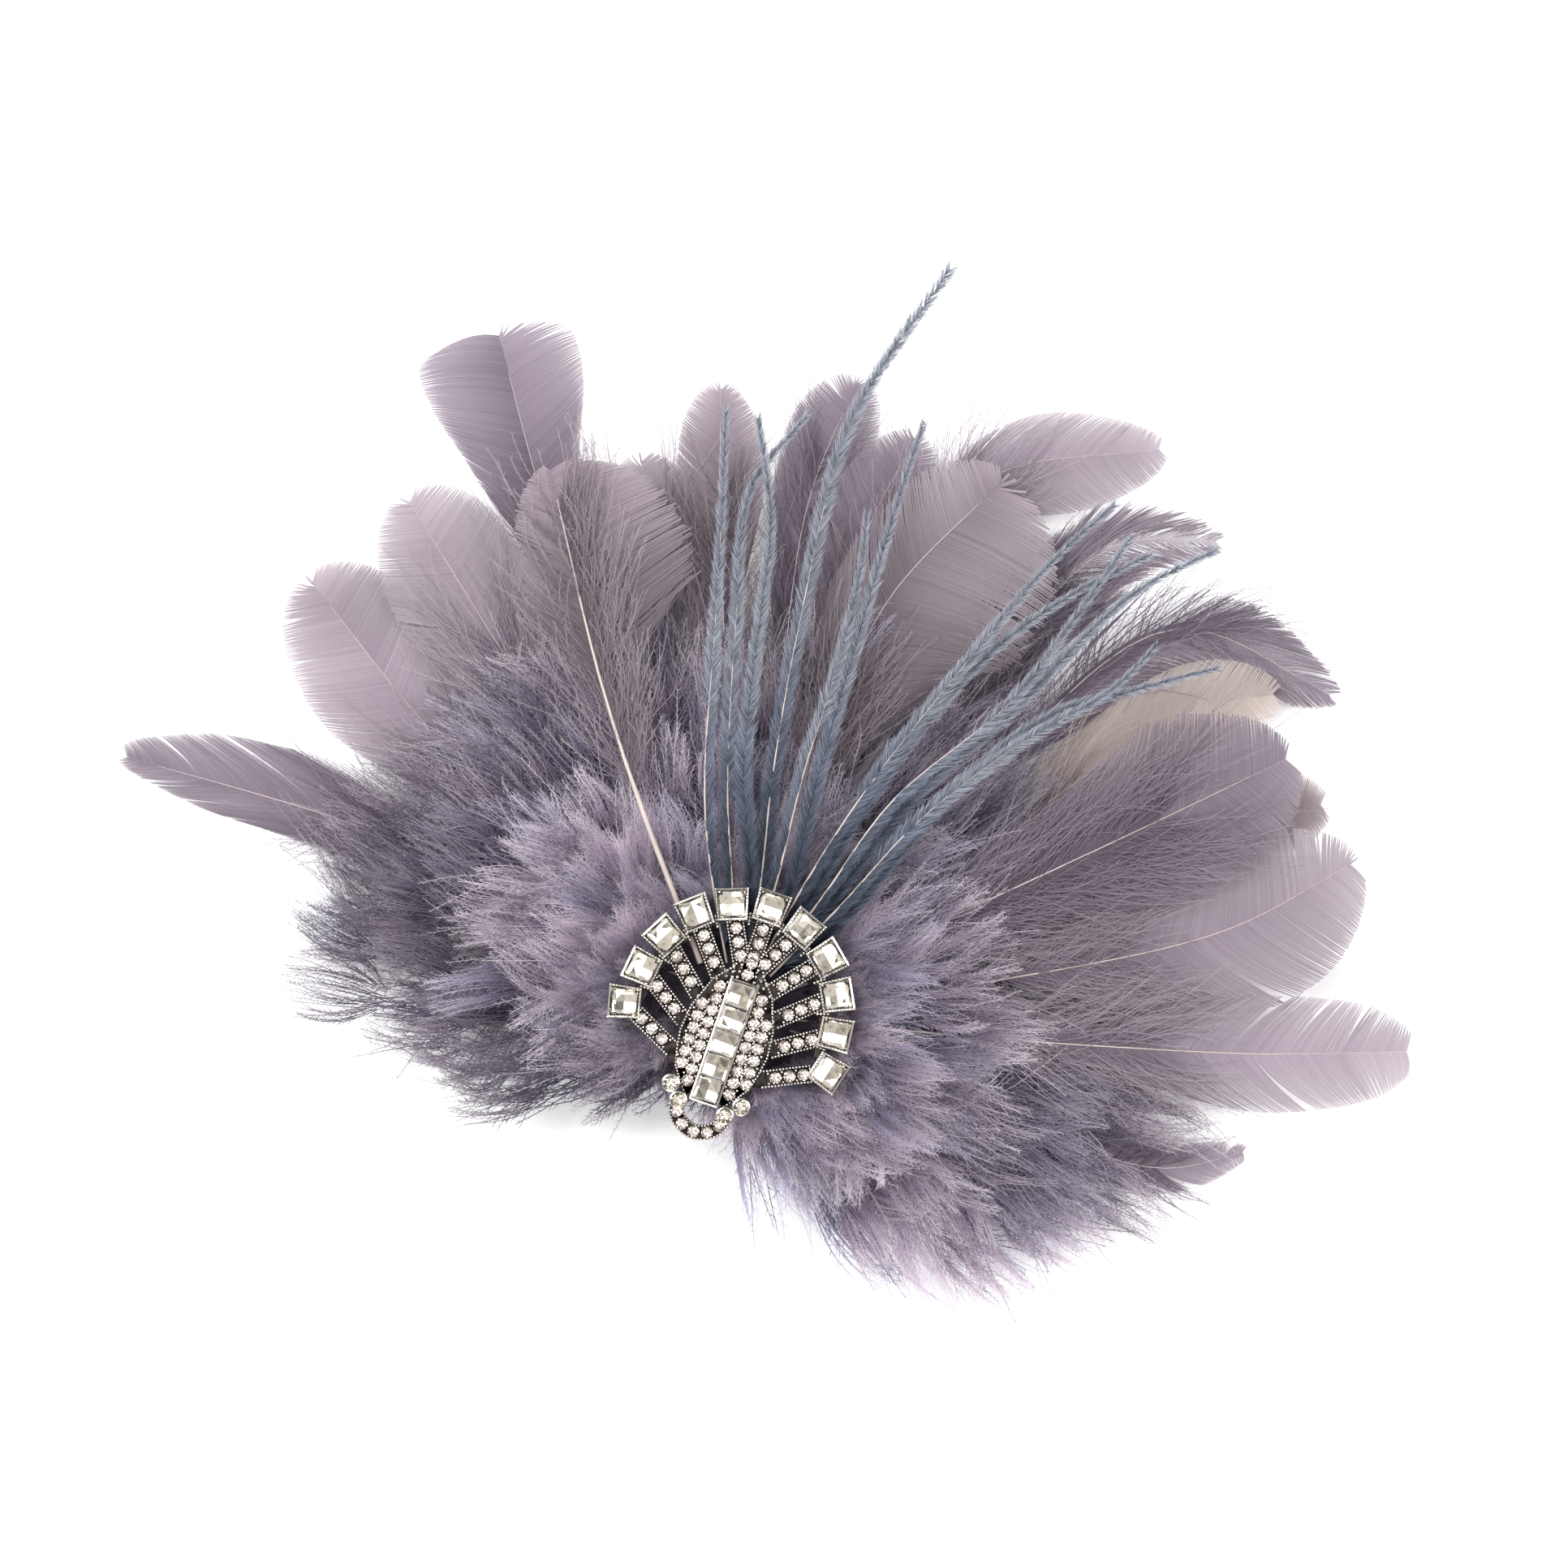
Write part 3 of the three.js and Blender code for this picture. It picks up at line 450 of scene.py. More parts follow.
def vaneParts(row, route, ground, rng, size):
    parts = []
    length = route["length"]
    bare, widest, width = row["bare"], row["widest"], row["width"]
    count = int(length * (1 - bare) / size["barbSpacing"])
    steps = size["barbPoints"]
    u = np.linspace(0, 1, steps)[None, :, None]
    aside = u[..., 0]
    for side in (1, -1):
        share, clump, middle = splitPlaces(count, row, rng)
        slips = rng.normal(0, 0.006, clump.max() + 1)[clump]
        lifts = rng.normal(0, row.get("rise", 0.25), clump.max() + 1)[clump]
        pulled = share + row.get("pull", 0.035) * (middle - share) + slips
        start = bare + (1 - bare) * share * 0.97
        advance = size["advance"] * smoothStep(share, 0, 0.12) * row.get("sweep", 1.0)
        end = np.clip(bare + (1 - bare) * (pulled + advance * (1 - pulled)), bare, 1)
        end += rng.normal(0, 0.0006, count)
        half = vaneHalf(np.clip(end, 0, 1), bare, widest) * width / 2 * (1 + side * row["lean"])
        half *= 1 + rng.normal(0, row.get("fray", 0.006), count)
        half *= 1 + 0.035 * np.sin(share * 9 + rng.random() * 6)
        root, rootHeading = onRoute(route, start)
        tipPlace, tipHeading = onRoute(route, np.clip(end, 0, 1))
        tip = tipPlace + side * leftOf(tipHeading) * half[:, None]
        reach = np.linalg.norm(tip - root, axis=1)[:, None]
        bend = root + side * leftOf(rootHeading) * half[:, None] * 0.5 + rootHeading * reach * 0.22
        line = bezier(root[:, None], bend[:, None], tip[:, None], u)
        ahead = np.gradient(line, axis=1)
        ahead /= np.maximum(np.linalg.norm(ahead, axis=2, keepdims=True), 1e-6)
        right = -leftOf(ahead)
        gap = np.abs(np.sum(np.gradient(line, axis=0) * right, axis=2))  # from barb to barb
        broad = np.minimum(gap, 1.7 * np.median(gap, axis=0)) * row.get("coverage", size["coverage"]) / 2
        broad = np.maximum(broad, size["narrowest"])
        broad[:, -1] *= row.get("point", 0.6)
        tilt = rng.normal(0.2 * side, 0.1, (count, 1))
        halves = np.concatenate([right * broad[..., None], (broad * tilt)[..., None]], axis=2)
        height = ground.at(line[..., 0], line[..., 1]) + size["seat"]
        height += lifts[:, None] * aside**2 + rng.normal(0, 0.02, (count, 1))
        height += row.get("lift", 0.0) * smoothStep(start, 0.75, 1.0)[:, None]
        centres = np.concatenate([line, np.maximum(height, size["lowest"])[..., None]], axis=2)
        tone = 0.76 + rng.normal(0, 0.04, clump.max() + 1)[clump] + rng.normal(0, 0.035, count)
        tone += 0.05 * (np.arange(count) % 2) + 0.05 * np.sin(share * 17 + rng.random() * 6)
        # painted shade: the barbs are painted darker near the root, where the down lies over the vane
        nearRoot = 1 - smoothStep(start, bare, bare + 0.35)
        tone = tone[:, None] - 0.28 * nearRoot[:, None] * np.ones_like(height)
        # painted shade: on the curled feather one side is painted darker towards the shaft, as the shade of
        # its curl
        tone += row.get("tone", 0.0) - row.get("foldShade", 0.0) * (side > 0) * (1 - aside) ** 2
        away = 0.15 + 0.5 * smoothStep(start, bare, 1.0)[:, None] + 0.35 * aside
        parts.append(ribbonPart(centres, halves, np.clip(away, 0, 1), np.clip(tone, 0.1, 0.99)))
    return parts


def quillPart(row, route, ground, radius, slot=1):
    share = np.linspace(0.0, 0.93, 26)
    place, _ = onRoute(route, share)
    radii = radius * (1 - 0.85 * share)
    height = ground.at(place[:, 0], place[:, 1]) + featherSizes["seat"] + radii * 0.3
    height += row.get("lift", 0.0) * smoothStep(share, 0.75, 1.0)
    return tubePart(np.concatenate([place, height[:, None]], axis=1), radii, 6, slot)


plumeFur = {
    "points": 8, "width": 0.15, "barbules": 16,
    "furLength": 1.7, "furWidth": 0.13, "angle": 30.0, "lift": 0.25,
}


def afterFeather(row, route, ground, rng):
    # the soft lower barbs of a flat feather: long, curved, free of each other and furred
    fluff = row["fluff"]
    count = fluff["count"]
    share = rng.uniform(*fluff["shares"], count)
    side = rng.choice([-1.0, 1.0], count, p=fluff.get("sides", (0.5, 0.5)))
    root, heading = onRoute(route, share)
    size = fluff["reach"] * rng.uniform(0.55, 1.15, count)[:, None]
    bend = root + turned(heading, side * np.radians(rng.normal(40, 12, count))) * size * 0.5
    tip = bend + turned(heading, side * np.radians(rng.normal(8, 18, count))) * size * 0.5
    rise = rng.uniform(0.1, 1.6, (count, 1))
    wave = rng.normal(0, 0.35, (count, 1))

    def curve(u):
        line = bezier(root[:, None], bend[:, None], tip[:, None], u[..., None])
        line = line + (leftOf(heading)[:, None] * (wave * np.sin(5 * u))[..., None])
        height = ground.at(line[..., 0], line[..., 1]) + 0.35 + rise * np.sin(np.pi * 0.7 * u)
        height = np.maximum(height, 0.1)[..., None]
        return np.concatenate([line, height, np.ones_like(height)], axis=-1)

    light = np.clip(rng.normal(fluff["light"], 0.13, count), 0.2, 0.98)
    return furBarbs(curve, count, plumeFur, light, rng)


# angles from the fan's middle line, reach and kneeOut as shares of featherSizes' reach, width of its width
# bare is a share of the shaft, widest of the vane past it; the last dictionary holds what only some have
featherColumns = (
    "node", "root", "knee", "kneeOut", "tip", "reach", "width", "bare", "widest", "lean", "finish",
)
# barbs of fluff, their length in mm, where on the shaft, how light, what shares are on its right and left
fluffColumns = ("count", "reach", "shares", "light", "sides")
featherRows = [
    (("feather_far_left", -78, -83.5, 0.6, -87, 0.99, 0.52, 0.3, 0.42, -0.25, "mauve"),
     (170, 18.0, (0.3, 0.62), 0.7), {"sweep": 1.8, "clumps": 7, "pull": 0.15}),
    (("feather_left", -66, -67, 0.6, -64, 0.9, 0.86, 0.3, 0.72, 0, "pale"), (200, 20.0, (0.3, 0.6), 0.8), {}),
    (("feather_left_upper", -54, -52.5, 0.6, -52, 0.9, 0.8, 0.3, 0.74, 0, "pale"),
     (300, 22.0, (0.3, 0.68), 0.85), {}),
    (("feather_curled", -42, -40, 0.8, -38.5, 1.06, 0.88, 0.52, 0.92, 0.08, "mauve"),
     (200, 18.0, (0.3, 0.66), 0.75), {"foldShade": 0.35, "tone": 0.08, "lift": 3.0}),
    (("feather_behind_left", -30, -29, 0.55, -29, 0.83, 0.62, 0.3, 0.7, 0, "pale"),
     (340, 21.0, (0.3, 0.85), 0.9), {}),
    (("feather_spoon", -19, -21, 0.72, -20.5, 0.92, 0.5, 0.5, 0.66, 0, "dusk"),
     (210, 16.0, (0.35, 0.8), 0.85, (0.65, 0.35)), {}),
    (("feather_top", -9, -11, 0.75, -8, 0.95, 0.5, 0.4, 0.8, 0, "mauve"), (200, 16.0, (0.35, 0.85), 0.8), {}),
    (("feather_top_right", 1, -4, 0.7, -1.5, 0.89, 0.5, 0.4, 0.75, 0, "mauve"),
     (130, 15.0, (0.35, 0.7), 0.75), {}),
    (("feather_leaning", 4, 5.5, 0.84, 18.5, 1.04, 0.56, 0.55, 0.6, -0.1, "pale"),
     (220, 22.0, (0.4, 0.72), 0.85, (0.6, 0.4)), {"sweep": 1.3}),
    (("feather_wispy", 15, 20, 0.87, 27.5, 1.0, 0.46, 0.35, 0.45, 0, "mauve"),
     (170, 17.0, (0.3, 0.75), 0.85, (0.8, 0.2)),
     {"sweep": 1.8, "clumps": 34, "pull": 0.5, "fray": 0.16, "coverage": 0.6, "point": 0.3, "rise": 0.6}),
    (("feather_hooked", 24, 30, 0.85, 44, 1.0, 0.48, 0.35, 0.55, 0, "mauve"),
     (190, 18.0, (0.3, 0.82), 0.8, (0.3, 0.7)),
     {"sweep": 2.2, "tone": -0.12, "clumps": 16, "pull": 0.4, "fray": 0.06}),
    (("feather_cream", 38, 38, 0.8, 41, 0.93, 0.54, 0.3, 0.7, 0, "cream"), (110, 16.0, (0.3, 0.6), 0.8), {}),
    (("feather_behind_right", 52, 50, 0.7, 52, 0.93, 0.56, 0.3, 0.75, 0, "ash"),
     (110, 16.0, (0.3, 0.6), 0.8), {}),
    (("feather_lower_right", 92, 92, 0.66, 86.5, 0.79, 0.32, 0.3, 0.5, 0, "mauve"),
     (150, 14.0, (0.3, 0.8), 0.6), {"clumps": 12, "pull": 0.3}),
    (("feather_broad_top", 0, 1, 0.62, 8, 0.88, 1.15, 0.3, 0.72, -0.35, "dusk"),
     (220, 18.0, (0.2, 0.5), 0.75), {"fray": 0.025}),
    (("feather_broad_right", 48, 47, 0.65, 46.5, 0.9, 0.95, 0.25, 0.72, 0, "mauve"),
     (420, 26.0, (0.2, 0.72), 0.8), {"fray": 0.025, "tone": -0.12}),
    (("feather_right", 72, 62, 0.72, 57.5, 0.94, 1.0, 0.35, 0.6, 0, "pale"),
     (220, 20.0, (0.25, 0.55), 0.8), {"clumps": 5, "pull": 0.08, "tone": -0.08}),
    (("feather_right_lower", 80, 76, 0.74, 74.5, 1.0, 0.66, 0.35, 0.68, 0, "pale"),
     (200, 20.0, (0.3, 0.58), 0.8), {"clumps": 12, "pull": 0.2, "tone": -0.05}),
    (("feather_long_quill", -55, -41, 0.54, -38, 0.84, 0.95, 0.5, 0.6, -0.4, "dusk"),
     (360, 18.0, (0.35, 0.9), 0.96, (0.8, 0.2)), {"quill": 0.5, "fray": 0.04, "tone": 0.03}),
]
featherSlots = {"cream": "feather_cream", "ash": "feather_cream", "dusk": "feather_dusk"}


def makeFeathers(finishes, quill):
    size = featherSizes
    for number, (values, fluff, extras) in enumerate(featherRows):
        row = {**dict(zip(featherColumns, values)), "fluff": dict(zip(fluffColumns, fluff)), **extras}
        rng = np.random.default_rng(100 + number)
        knee = size["reach"] * row["kneeOut"]
        turns = [row["root"], row["knee"] + (row["root"] - row["knee"]) * 0.25, row["knee"], row["tip"]]
        outs = [size["root"], knee * 0.5, knee, size["reach"] * row["reach"]]
        route = makeRoute(polar(np.array(turns), np.array(outs)))
        ground = HeightMap(row["node"], top=False)
        shape = {**row, "width": row["width"] * size["width"]}
        parts = vaneParts(shape, route, ground, rng, size)
        parts += afterFeather(shape, route, ground, rng)
        parts.append(quillPart(shape, route, ground, row.get("quill", size["quillRadius"])))
        piece = meshPiece("vane_" + row["node"], parts, [finishes[row["finish"]], quill])
        finishPiece(piece, featherSlots.get(row["finish"], "feather_mauve"), row["node"])


# herls: narrow blue-grey feathers, each a thin shaft furred all round with short barbs

herlSizes = {
    "reach": 100.0,        # mm from the brooch's centre that the tables' outs are shares of
    "root": 7.5,
    "barbSpacing": 0.13,
    "barbLength": 3.0,
    "barbWidth": 0.12,
    "shaftRadius": 0.16,
    "lean": 24.0,          # degrees between a barb and the shaft
    "missing": 0.35,       # share of the barbs lost towards the tip
    "seat": 0.35,          # above the underside of the solid that a herl replaces
}
# five points of each herl's shaft; bare is the side (1 left, -1 right) without barbs and how far up it is so
herlRows = [
    {"turns": [-29, -27, -22, -20.5, -20], "outs": [0.2, 0.33, 0.6, 0.8, 0.93], "bare": (1, 0.5)},
    {"turns": [-20.5, -21, -19, -17.5, -12], "outs": [0.2, 0.33, 0.6, 0.8, 0.93], "bare": (-1, 0.3)},
    {"turns": [-12.5, -17, -15.5, -15, -17], "outs": [0.2, 0.37, 0.6, 0.76, 0.92]},
    {"turns": [-7.8, -10, -9.7, -8, -2.8], "outs": [0.2, 0.36, 0.6, 0.92, 1.2], "bare": (1, 0.0),
     "taper": 0.2},
    {"turns": [-1.2, -3.1, -2.6, -3.3, -4.4], "outs": [0.2, 0.38, 0.54, 0.71, 0.8], "bare": (-1, 0.55)},
    {"turns": [5.5, 0.5, -0.9, -1.4, -1.3], "outs": [0.2, 0.36, 0.6, 0.84, 0.96]},
    {"turns": [9.5, 11.2, 14.3, 16.2, 17.9], "outs": [0.2, 0.38, 0.62, 0.85, 0.98], "bare": (1, 0.35)},
    {"turns": [14.5, 12.5, 15.7, 19.6, 23.5], "outs": [0.21, 0.38, 0.64, 0.81, 0.96]},
    {"turns": [18.5, 17.5, 22.7, 21.8, 20.8], "outs": [0.21, 0.4, 0.64, 0.8, 0.96], "bare": (1, 0.6)},
    {"turns": [22, 20.5, 23.5, 24.7, 27.3], "outs": [0.21, 0.42, 0.63, 0.89, 1.03]},
    {"turns": [26, 24.6, 27.6, 30.5, 30], "outs": [0.22, 0.4, 0.59, 0.76, 0.865], "bare": (1, 0.3)},
    {"turns": [30, 25.5, 28.1, 32.3, 35.8], "outs": [0.22, 0.43, 0.67, 0.79, 0.92]},
]


def makeHerls(finish, quill):
    size = herlSizes
    for number, row in enumerate(herlRows):
        rng = np.random.default_rng(300 + number)
        node = f"herl_{number + 1:02d}"
        turns = np.array([row["turns"][0], *row["turns"]], float)
        outs = np.array([size["root"], *(size["reach"] * out for out in row["outs"])])
        route = makeRoute(polar(turns, outs))
        ground = HeightMap(node, top=False)
        count = int(route["length"] / size["barbSpacing"])
        bareSide, bareTo = row.get("bare", (0, 0.0))
        parts = []
        for side in (1.0, -1.0):
            for raised in (0.0, 1.0):
                share = 0.03 + 0.96 * (np.arange(count) + rng.random(count)) / count
                kept = rng.random(count) > size["missing"] * smoothStep(share, 0.6, 1.0)
                if side == bareSide:
                    kept &= share > bareTo * rng.uniform(0.9, 1.05, count)
                share = share[kept]
                n = len(share)
                root, heading = onRoute(route, share)
                clump = rng.normal(0, 1, count // 6 + 2)[(share * count / 6).astype(int)]
                length = size["barbLength"] * (0.8 + 0.2 * smoothStep(share, 0.0, 0.3))
                length *= 1 - row.get("taper", 0.55) * smoothStep(share, 0.35, 1.0)
                length *= (1 + 0.04 * clump) * rng.uniform(0.7, 1.15, n)
                angle = side * np.radians(size["lean"] + 5 * raised + 1.5 * clump + rng.normal(0, 3, n))
                bend = root + turned(heading, angle * 1.3) * length[:, None] * 0.5
                tip = bend + turned(heading, angle * 0.7) * length[:, None] * 0.5
                u = np.array([0.0, 0.5, 1.0])[None, :, None]
                line = bezier(root[:, None], bend[:, None], tip[:, None], u)
                ahead = np.gradient(line, axis=1)
                ahead /= np.maximum(np.linalg.norm(ahead, axis=2, keepdims=True), 1e-6)
                broad = size["barbWidth"] / 2 * (1 - 0.8 * u) * np.ones((n, 1, 1))
                tilt = rng.normal(0.4 * side, 0.5, (n, 1, 1))
                halves = np.concatenate([-leftOf(ahead) * broad, broad * tilt], axis=2)
                height = ground.at(line[..., 0], line[..., 1]) + size["seat"]
                height += (0.85 * raised + rng.normal(0, 0.15, (n, 1))) * u[..., 0] ** 0.7
                centres = np.concatenate([line, height[..., None]], axis=2)
                # painted light and shade: the raised barbs are painted lighter, the lower layer darker
                tone = 0.4 + 0.26 * raised + 0.05 * clump + rng.normal(0, 0.19, n)
                tone = np.clip(tone, dimmest, brightest)[:, None] * np.ones((n, 3))
                away = (0.1 + 0.75 * smoothStep(share, 0.05, 0.6))[:, None] + 0.15 * u[..., 0]
                parts.append(ribbonPart(centres, halves, away, tone))
        shown = 1 if bareSide else 0  # a shaft without barbs on one side shows as a pale quill
        radius = size["shaftRadius"] * (1.25 if shown else 0.9)
        parts.append(quillPart(row, route, ground, radius, slot=shown))
        piece = meshPiece(f"plumed_{node}", parts, [finish, quill])
        finishPiece(piece, "herl_blue", node)


# down: tufts of curled barbs in rings that overlap outwards, each barb furred with barbules

downSizes = {
    "reach": 70.0,
    "upperShare": 0.66,
    "inner": 10.5,         # nothing roots nearer to the brooch's centre
    "clumps": 6,           # points that a tuft's barbs gather to
    "deep": 0.42,          # share of the barbs that lie low, painted dark as shade
    "stray": 0.05,         # share that leave their tuft
    "lowest": 0.12,        # above the table
    "wavePhase": 6.28,     # radians that the barbs' waves are spread over
    "gridStep": 2.0,       # between the readings of the solid's height
}
downFur = {
    "points": 6, "width": 0.14,
    "furLength": 1.75, "furWidth": 0.12, "angle": 36.0, "lift": 0.3, "twoTone": True,
}
# the fluff's outline: angle from the fan's middle line and reach there, as a share of downSizes' reach
downOutline = [
    (-168, 0.2), (-162, 0.24), (-150, 0.31), (-137, 0.43), (-127, 0.62), (-119, 0.7), (-113, 0.76),
    (-107, 0.86), (-101, 0.98), (-94, 1.05), (-80, 0.98), (-55, 0.93), (-30, 0.92), (0, 0.86), (30, 0.9),
    (60, 0.95), (85, 1.0), (108, 1.02), (116, 0.9), (125, 0.79), (136, 0.58), (148, 0.4), (160, 0.27),
    (170, 0.2),
]
# rings of tufts: out is where their tips reach, a share of the outline; long, wide and apart are mm; low and
# high are shares of the solid's height; light is painted light, lower for the rings that lie underneath as
# painted shade; coarse widens the barbs, slate is the share of tufts in that dye
ringColumns = ("out", "long", "wide", "apart", "low", "high", "light", "barbs", "coarse", "slate", "barbules")
ringRows = {
    "lower": [
        (0.56, 26.0, 14.0, 7.5, 0.05, 0.3, 0.5, 44, 2.0, 0.6, 12),
        (0.96, 27.0, 14.0, 7.0, 0.05, 0.3, 0.6, 48, 1.9, 0.6, 12),
        (0.64, 17.0, 9.5, 9.0, 0.2, 0.95, 0.6, 36, 1.4, 0.5, 24),
        (0.79, 19.0, 10.0, 8.5, 0.15, 1.0, 0.7, 48, 1.2, 0.5, 24),
        (0.92, 20.0, 10.5, 7.6, 0.1, 0.9, 0.8, 50, 1.0, 0.4, 24),
        (1.05, 21.0, 11.5, 7.6, 0.1, 0.7, 0.82, 52, 1.0, 0.3, 24),
    ],
    "upper": [
        (0.8, 22.0, 12.0, 7.0, 0.0, 0.3, 0.6, 40, 1.7, 0.5, 12),
        (1.06, 18.0, 9.0, 7.0, 0.0, 0.8, 0.72, 52, 1.0, 0.3, 24),
        (0.9, 17.0, 8.0, 6.2, 0.15, 1.0, 0.86, 54, 1.0, 0.3, 24),
        (0.75, 14.0, 7.5, 6.0, 0.2, 1.15, 0.95, 54, 1.0, 0.3, 24),
        (0.6, 12.0, 7.0, 5.8, 0.2, 1.15, 1.0, 52, 1.0, 0.3, 24),
        (0.45, 9.5, 6.0, 5.2, 0.1, 1.0, 1.0, 46, 1.0, 0.3, 24),
    ],
}
# how light the down is painted around the fan, its dye and painted shade together: angle, share
downLight = {
    "lower": [
        (-168, 0.8), (-140, 0.64), (-95, 0.56), (-60, 0.9), (0, 0.95), (60, 0.85), (95, 1.0),
        (125, 1.7), (160, 1.6),
    ],
    "upper": [
        (-168, 0.9), (-140, 0.95), (-95, 1.05), (-60, 1.3), (0, 1.1), (60, 0.94), (95, 1.02),
        (125, 1.2), (160, 1.15),
    ],
}


def outlineAt(turn):
    turns, reaches = zip(*downOutline)
    return downSizes["reach"] * np.interp(turn, turns, reaches)


def tuftRing(ring, span, share, shine, rng):
    # columns: each tuft's angle, where its tips reach, length, width, light
    edge = outlineAt(np.linspace(*span, 60)) * share * ring["out"]
    count = max(3, int(np.radians(span[1] - span[0]) * edge.mean() / ring["apart"]))
    weights = np.cumsum(edge)
    places = (np.arange(count) + 0.5 + rng.uniform(-0.3, 0.3, count)) / count
    turn = np.interp(places, weights / weights[-1], np.linspace(*span, 60))
    tip = outlineAt(turn) * share * ring["out"] * np.clip(rng.normal(1.0, 0.045, count), 0.94, 1.04)
    scale = np.clip(tip / (downSizes["reach"] * share * 0.45), 0.55, 1.0)
    long = ring["long"] * scale * np.clip(rng.normal(1, 0.14, count), 0.88, 1.25)
    long = np.maximum(np.minimum(long, tip - downSizes["inner"]), 4.0)
    wide = ring["wide"] * scale * rng.normal(1, 0.15, count)
    light = ring["light"] * np.interp(turn, *zip(*shine)) + rng.normal(0, 0.07, count)
    return turn, tip, long, wide, light


def makeTufts(ring, span, share, shine, low, high, rng):
    size = downSizes
    turn, tip, long, wide, light = [column[:, None] for column in tuftRing(ring, span, share, shine, rng)]
    n, m = len(turn), ring["barbs"]
    swirl = 9 * np.sin(np.radians(turn) * 5 + rng.random() * 6) + np.clip(rng.normal(0, 8, (n, 1)), -12, 12)
    swirl *= 1 - 0.8 * smoothStep(np.abs(turn), 115, 145)  # the ends of the fan keep their outline
    outward = turned(polar(turn, np.ones_like(turn)), -np.radians(swirl))
    root = polar(turn, tip) - outward * long[..., None]
    clumps = size["clumps"]
    spread = rng.uniform(-1, 1, (n, m))
    number = np.clip(((spread + 1) / 2 * clumps).astype(int), 0, clumps - 1)
    pick = np.arange(n)[:, None]
    gathered = (number + 0.5) / clumps * 2 - 1 + rng.normal(0, 0.13, (n, m))
    gathered += rng.normal(0, 0.14, (n, clumps))[pick, number]
    clumpReach = rng.uniform(0.7, 1.05, (n, clumps))[pick, number]
    clumpRise = rng.normal(0, 0.13, (n, clumps))[pick, number]
    clumpLight = rng.normal(0, 0.08, (n, clumps))[pick, number]
    # painted shade: the deep barbs are painted dark, the top ones light
    deep = rng.random((n, m)) < size["deep"] - 0.25 * smoothStep(light, 0.7, 1.2)
    level = np.where(deep, rng.uniform(0.1, 0.5, (n, m)), rng.uniform(0.7, 1.05, (n, m)) + clumpRise)
    shade = np.where(deep, rng.uniform(0.12, 0.42, (n, m)), rng.uniform(0.78, 1.15, (n, m)) + clumpLight)
    stray = (rng.random((n, m)) < size["stray"]) & ~deep
    reach = long * clumpReach * (1 - 0.18 * spread**2) * (1 - np.abs(rng.normal(0, 0.1, (n, m))))
    reach = np.where(stray, long * rng.uniform(1.0, 1.25, (n, m)), reach)
    curl = np.where(stray, rng.normal(0, 3.5, (n, m)), rng.normal(0, 0.7, (n, m)))
    sway = rng.normal(0, 0.12, (n, 1)) * long + rng.normal(0, 0.5, (n, clumps))[pick, number]
    wave, phase = rng.uniform(0.1, 0.35, (n, m)), rng.random((n, m)) * size["wavePhase"]

    def flat(values):
        return np.broadcast_to(values, (n, m)).reshape(-1, 1)

    rootFlat = np.broadcast_to(root, (n, m, 2)).reshape(-1, 1, 2)
    outFlat = np.broadcast_to(outward, (n, m, 2)).reshape(-1, 1, 2)
    spreadFlat, gatheredFlat, wideFlat, reachFlat = flat(spread), flat(gathered), flat(wide), flat(reach)
    bendFlat, waveFlat, phaseFlat, levelFlat = flat(sway + curl), flat(wave), flat(phase), flat(level)
    startFlat = 0.3 * phaseFlat / size["wavePhase"]  # the barbs leave the tuft's shaft one after another

    def curve(u):
        u = startFlat + (1 - startFlat) * u
        fan = 0.25 + 0.75 * np.sin(np.pi / 2 * np.minimum(1, u / 0.6)) - 0.15 * smoothStep(u, 0.7, 1.0)
        across = (spreadFlat * (1 - u**1.6) + gatheredFlat * u**1.6) * fan * wideFlat / 2
        across = across + bendFlat * u**2 + waveFlat * np.sin(7 * u + phaseFlat)
        place = rootFlat + outFlat * (reachFlat * u)[..., None] + leftOf(outFlat) * across[..., None]
        bottom, top = low.at(place[..., 0], place[..., 1]), high.at(place[..., 0], place[..., 1])
        rise = np.sin(np.pi / 2 * np.minimum(1, u / 0.5)) - 0.4 * smoothStep(u, 0.55, 1.05)
        lift = ring["low"] + (ring["high"] * levelFlat - ring["low"]) * rise
        lift = lift - 0.2 * spreadFlat**2 * np.sin(np.pi * np.minimum(u, 1))
        height = np.maximum(bottom + (top - bottom) * lift, size["lowest"])
        # painted shade: the barbs are painted darker towards their roots inside the tuft
        lit = 0.5 + 0.5 * smoothStep(u, 0.0, 0.55)
        return np.concatenate([place, height[..., None], lit[..., None]], axis=-1)

    slate = np.repeat(np.where(rng.random(n) < ring["slate"], 0.5, 0.0), m)
    fur = {**downFur, "barbules": ring["barbules"]}
    for key in ("width", "furWidth"):
        fur[key] = downFur[key] * ring["coarse"]
    return furBarbs(curve, n * m, fur, (light * shade).ravel(), rng, slate)


def makeDown(layer, sideName, finish):
    node = f"down_{layer}_{sideName}"
    share = 1.0 if layer == "lower" else downSizes["upperShare"]
    rng = np.random.default_rng({"lower": 500, "upper": 600}[layer] + (1 if sideName == "left" else 2))
    foot = 14.0 if layer == "lower" else 40.0  # degrees left open beside the loop
    span = (-180 + foot, -1.0) if sideName == "left" else (1.0, 180 - foot)
    low = HeightMap(node, top=False, step=downSizes["gridStep"])
    high = HeightMap(node, top=True, step=downSizes["gridStep"])
    parts = []
    for row in ringRows[layer]:
        ring = dict(zip(ringColumns, row))
        parts += makeTufts(ring, span, share, downLight[layer], low, high, rng)
    piece = meshPiece(f"fluff_{node}", parts, [finish], smooth=False)
    finishPiece(piece, "down_mauve", node)


# the brooch: cast shell with millgrain beads, pave stones and square cut stones

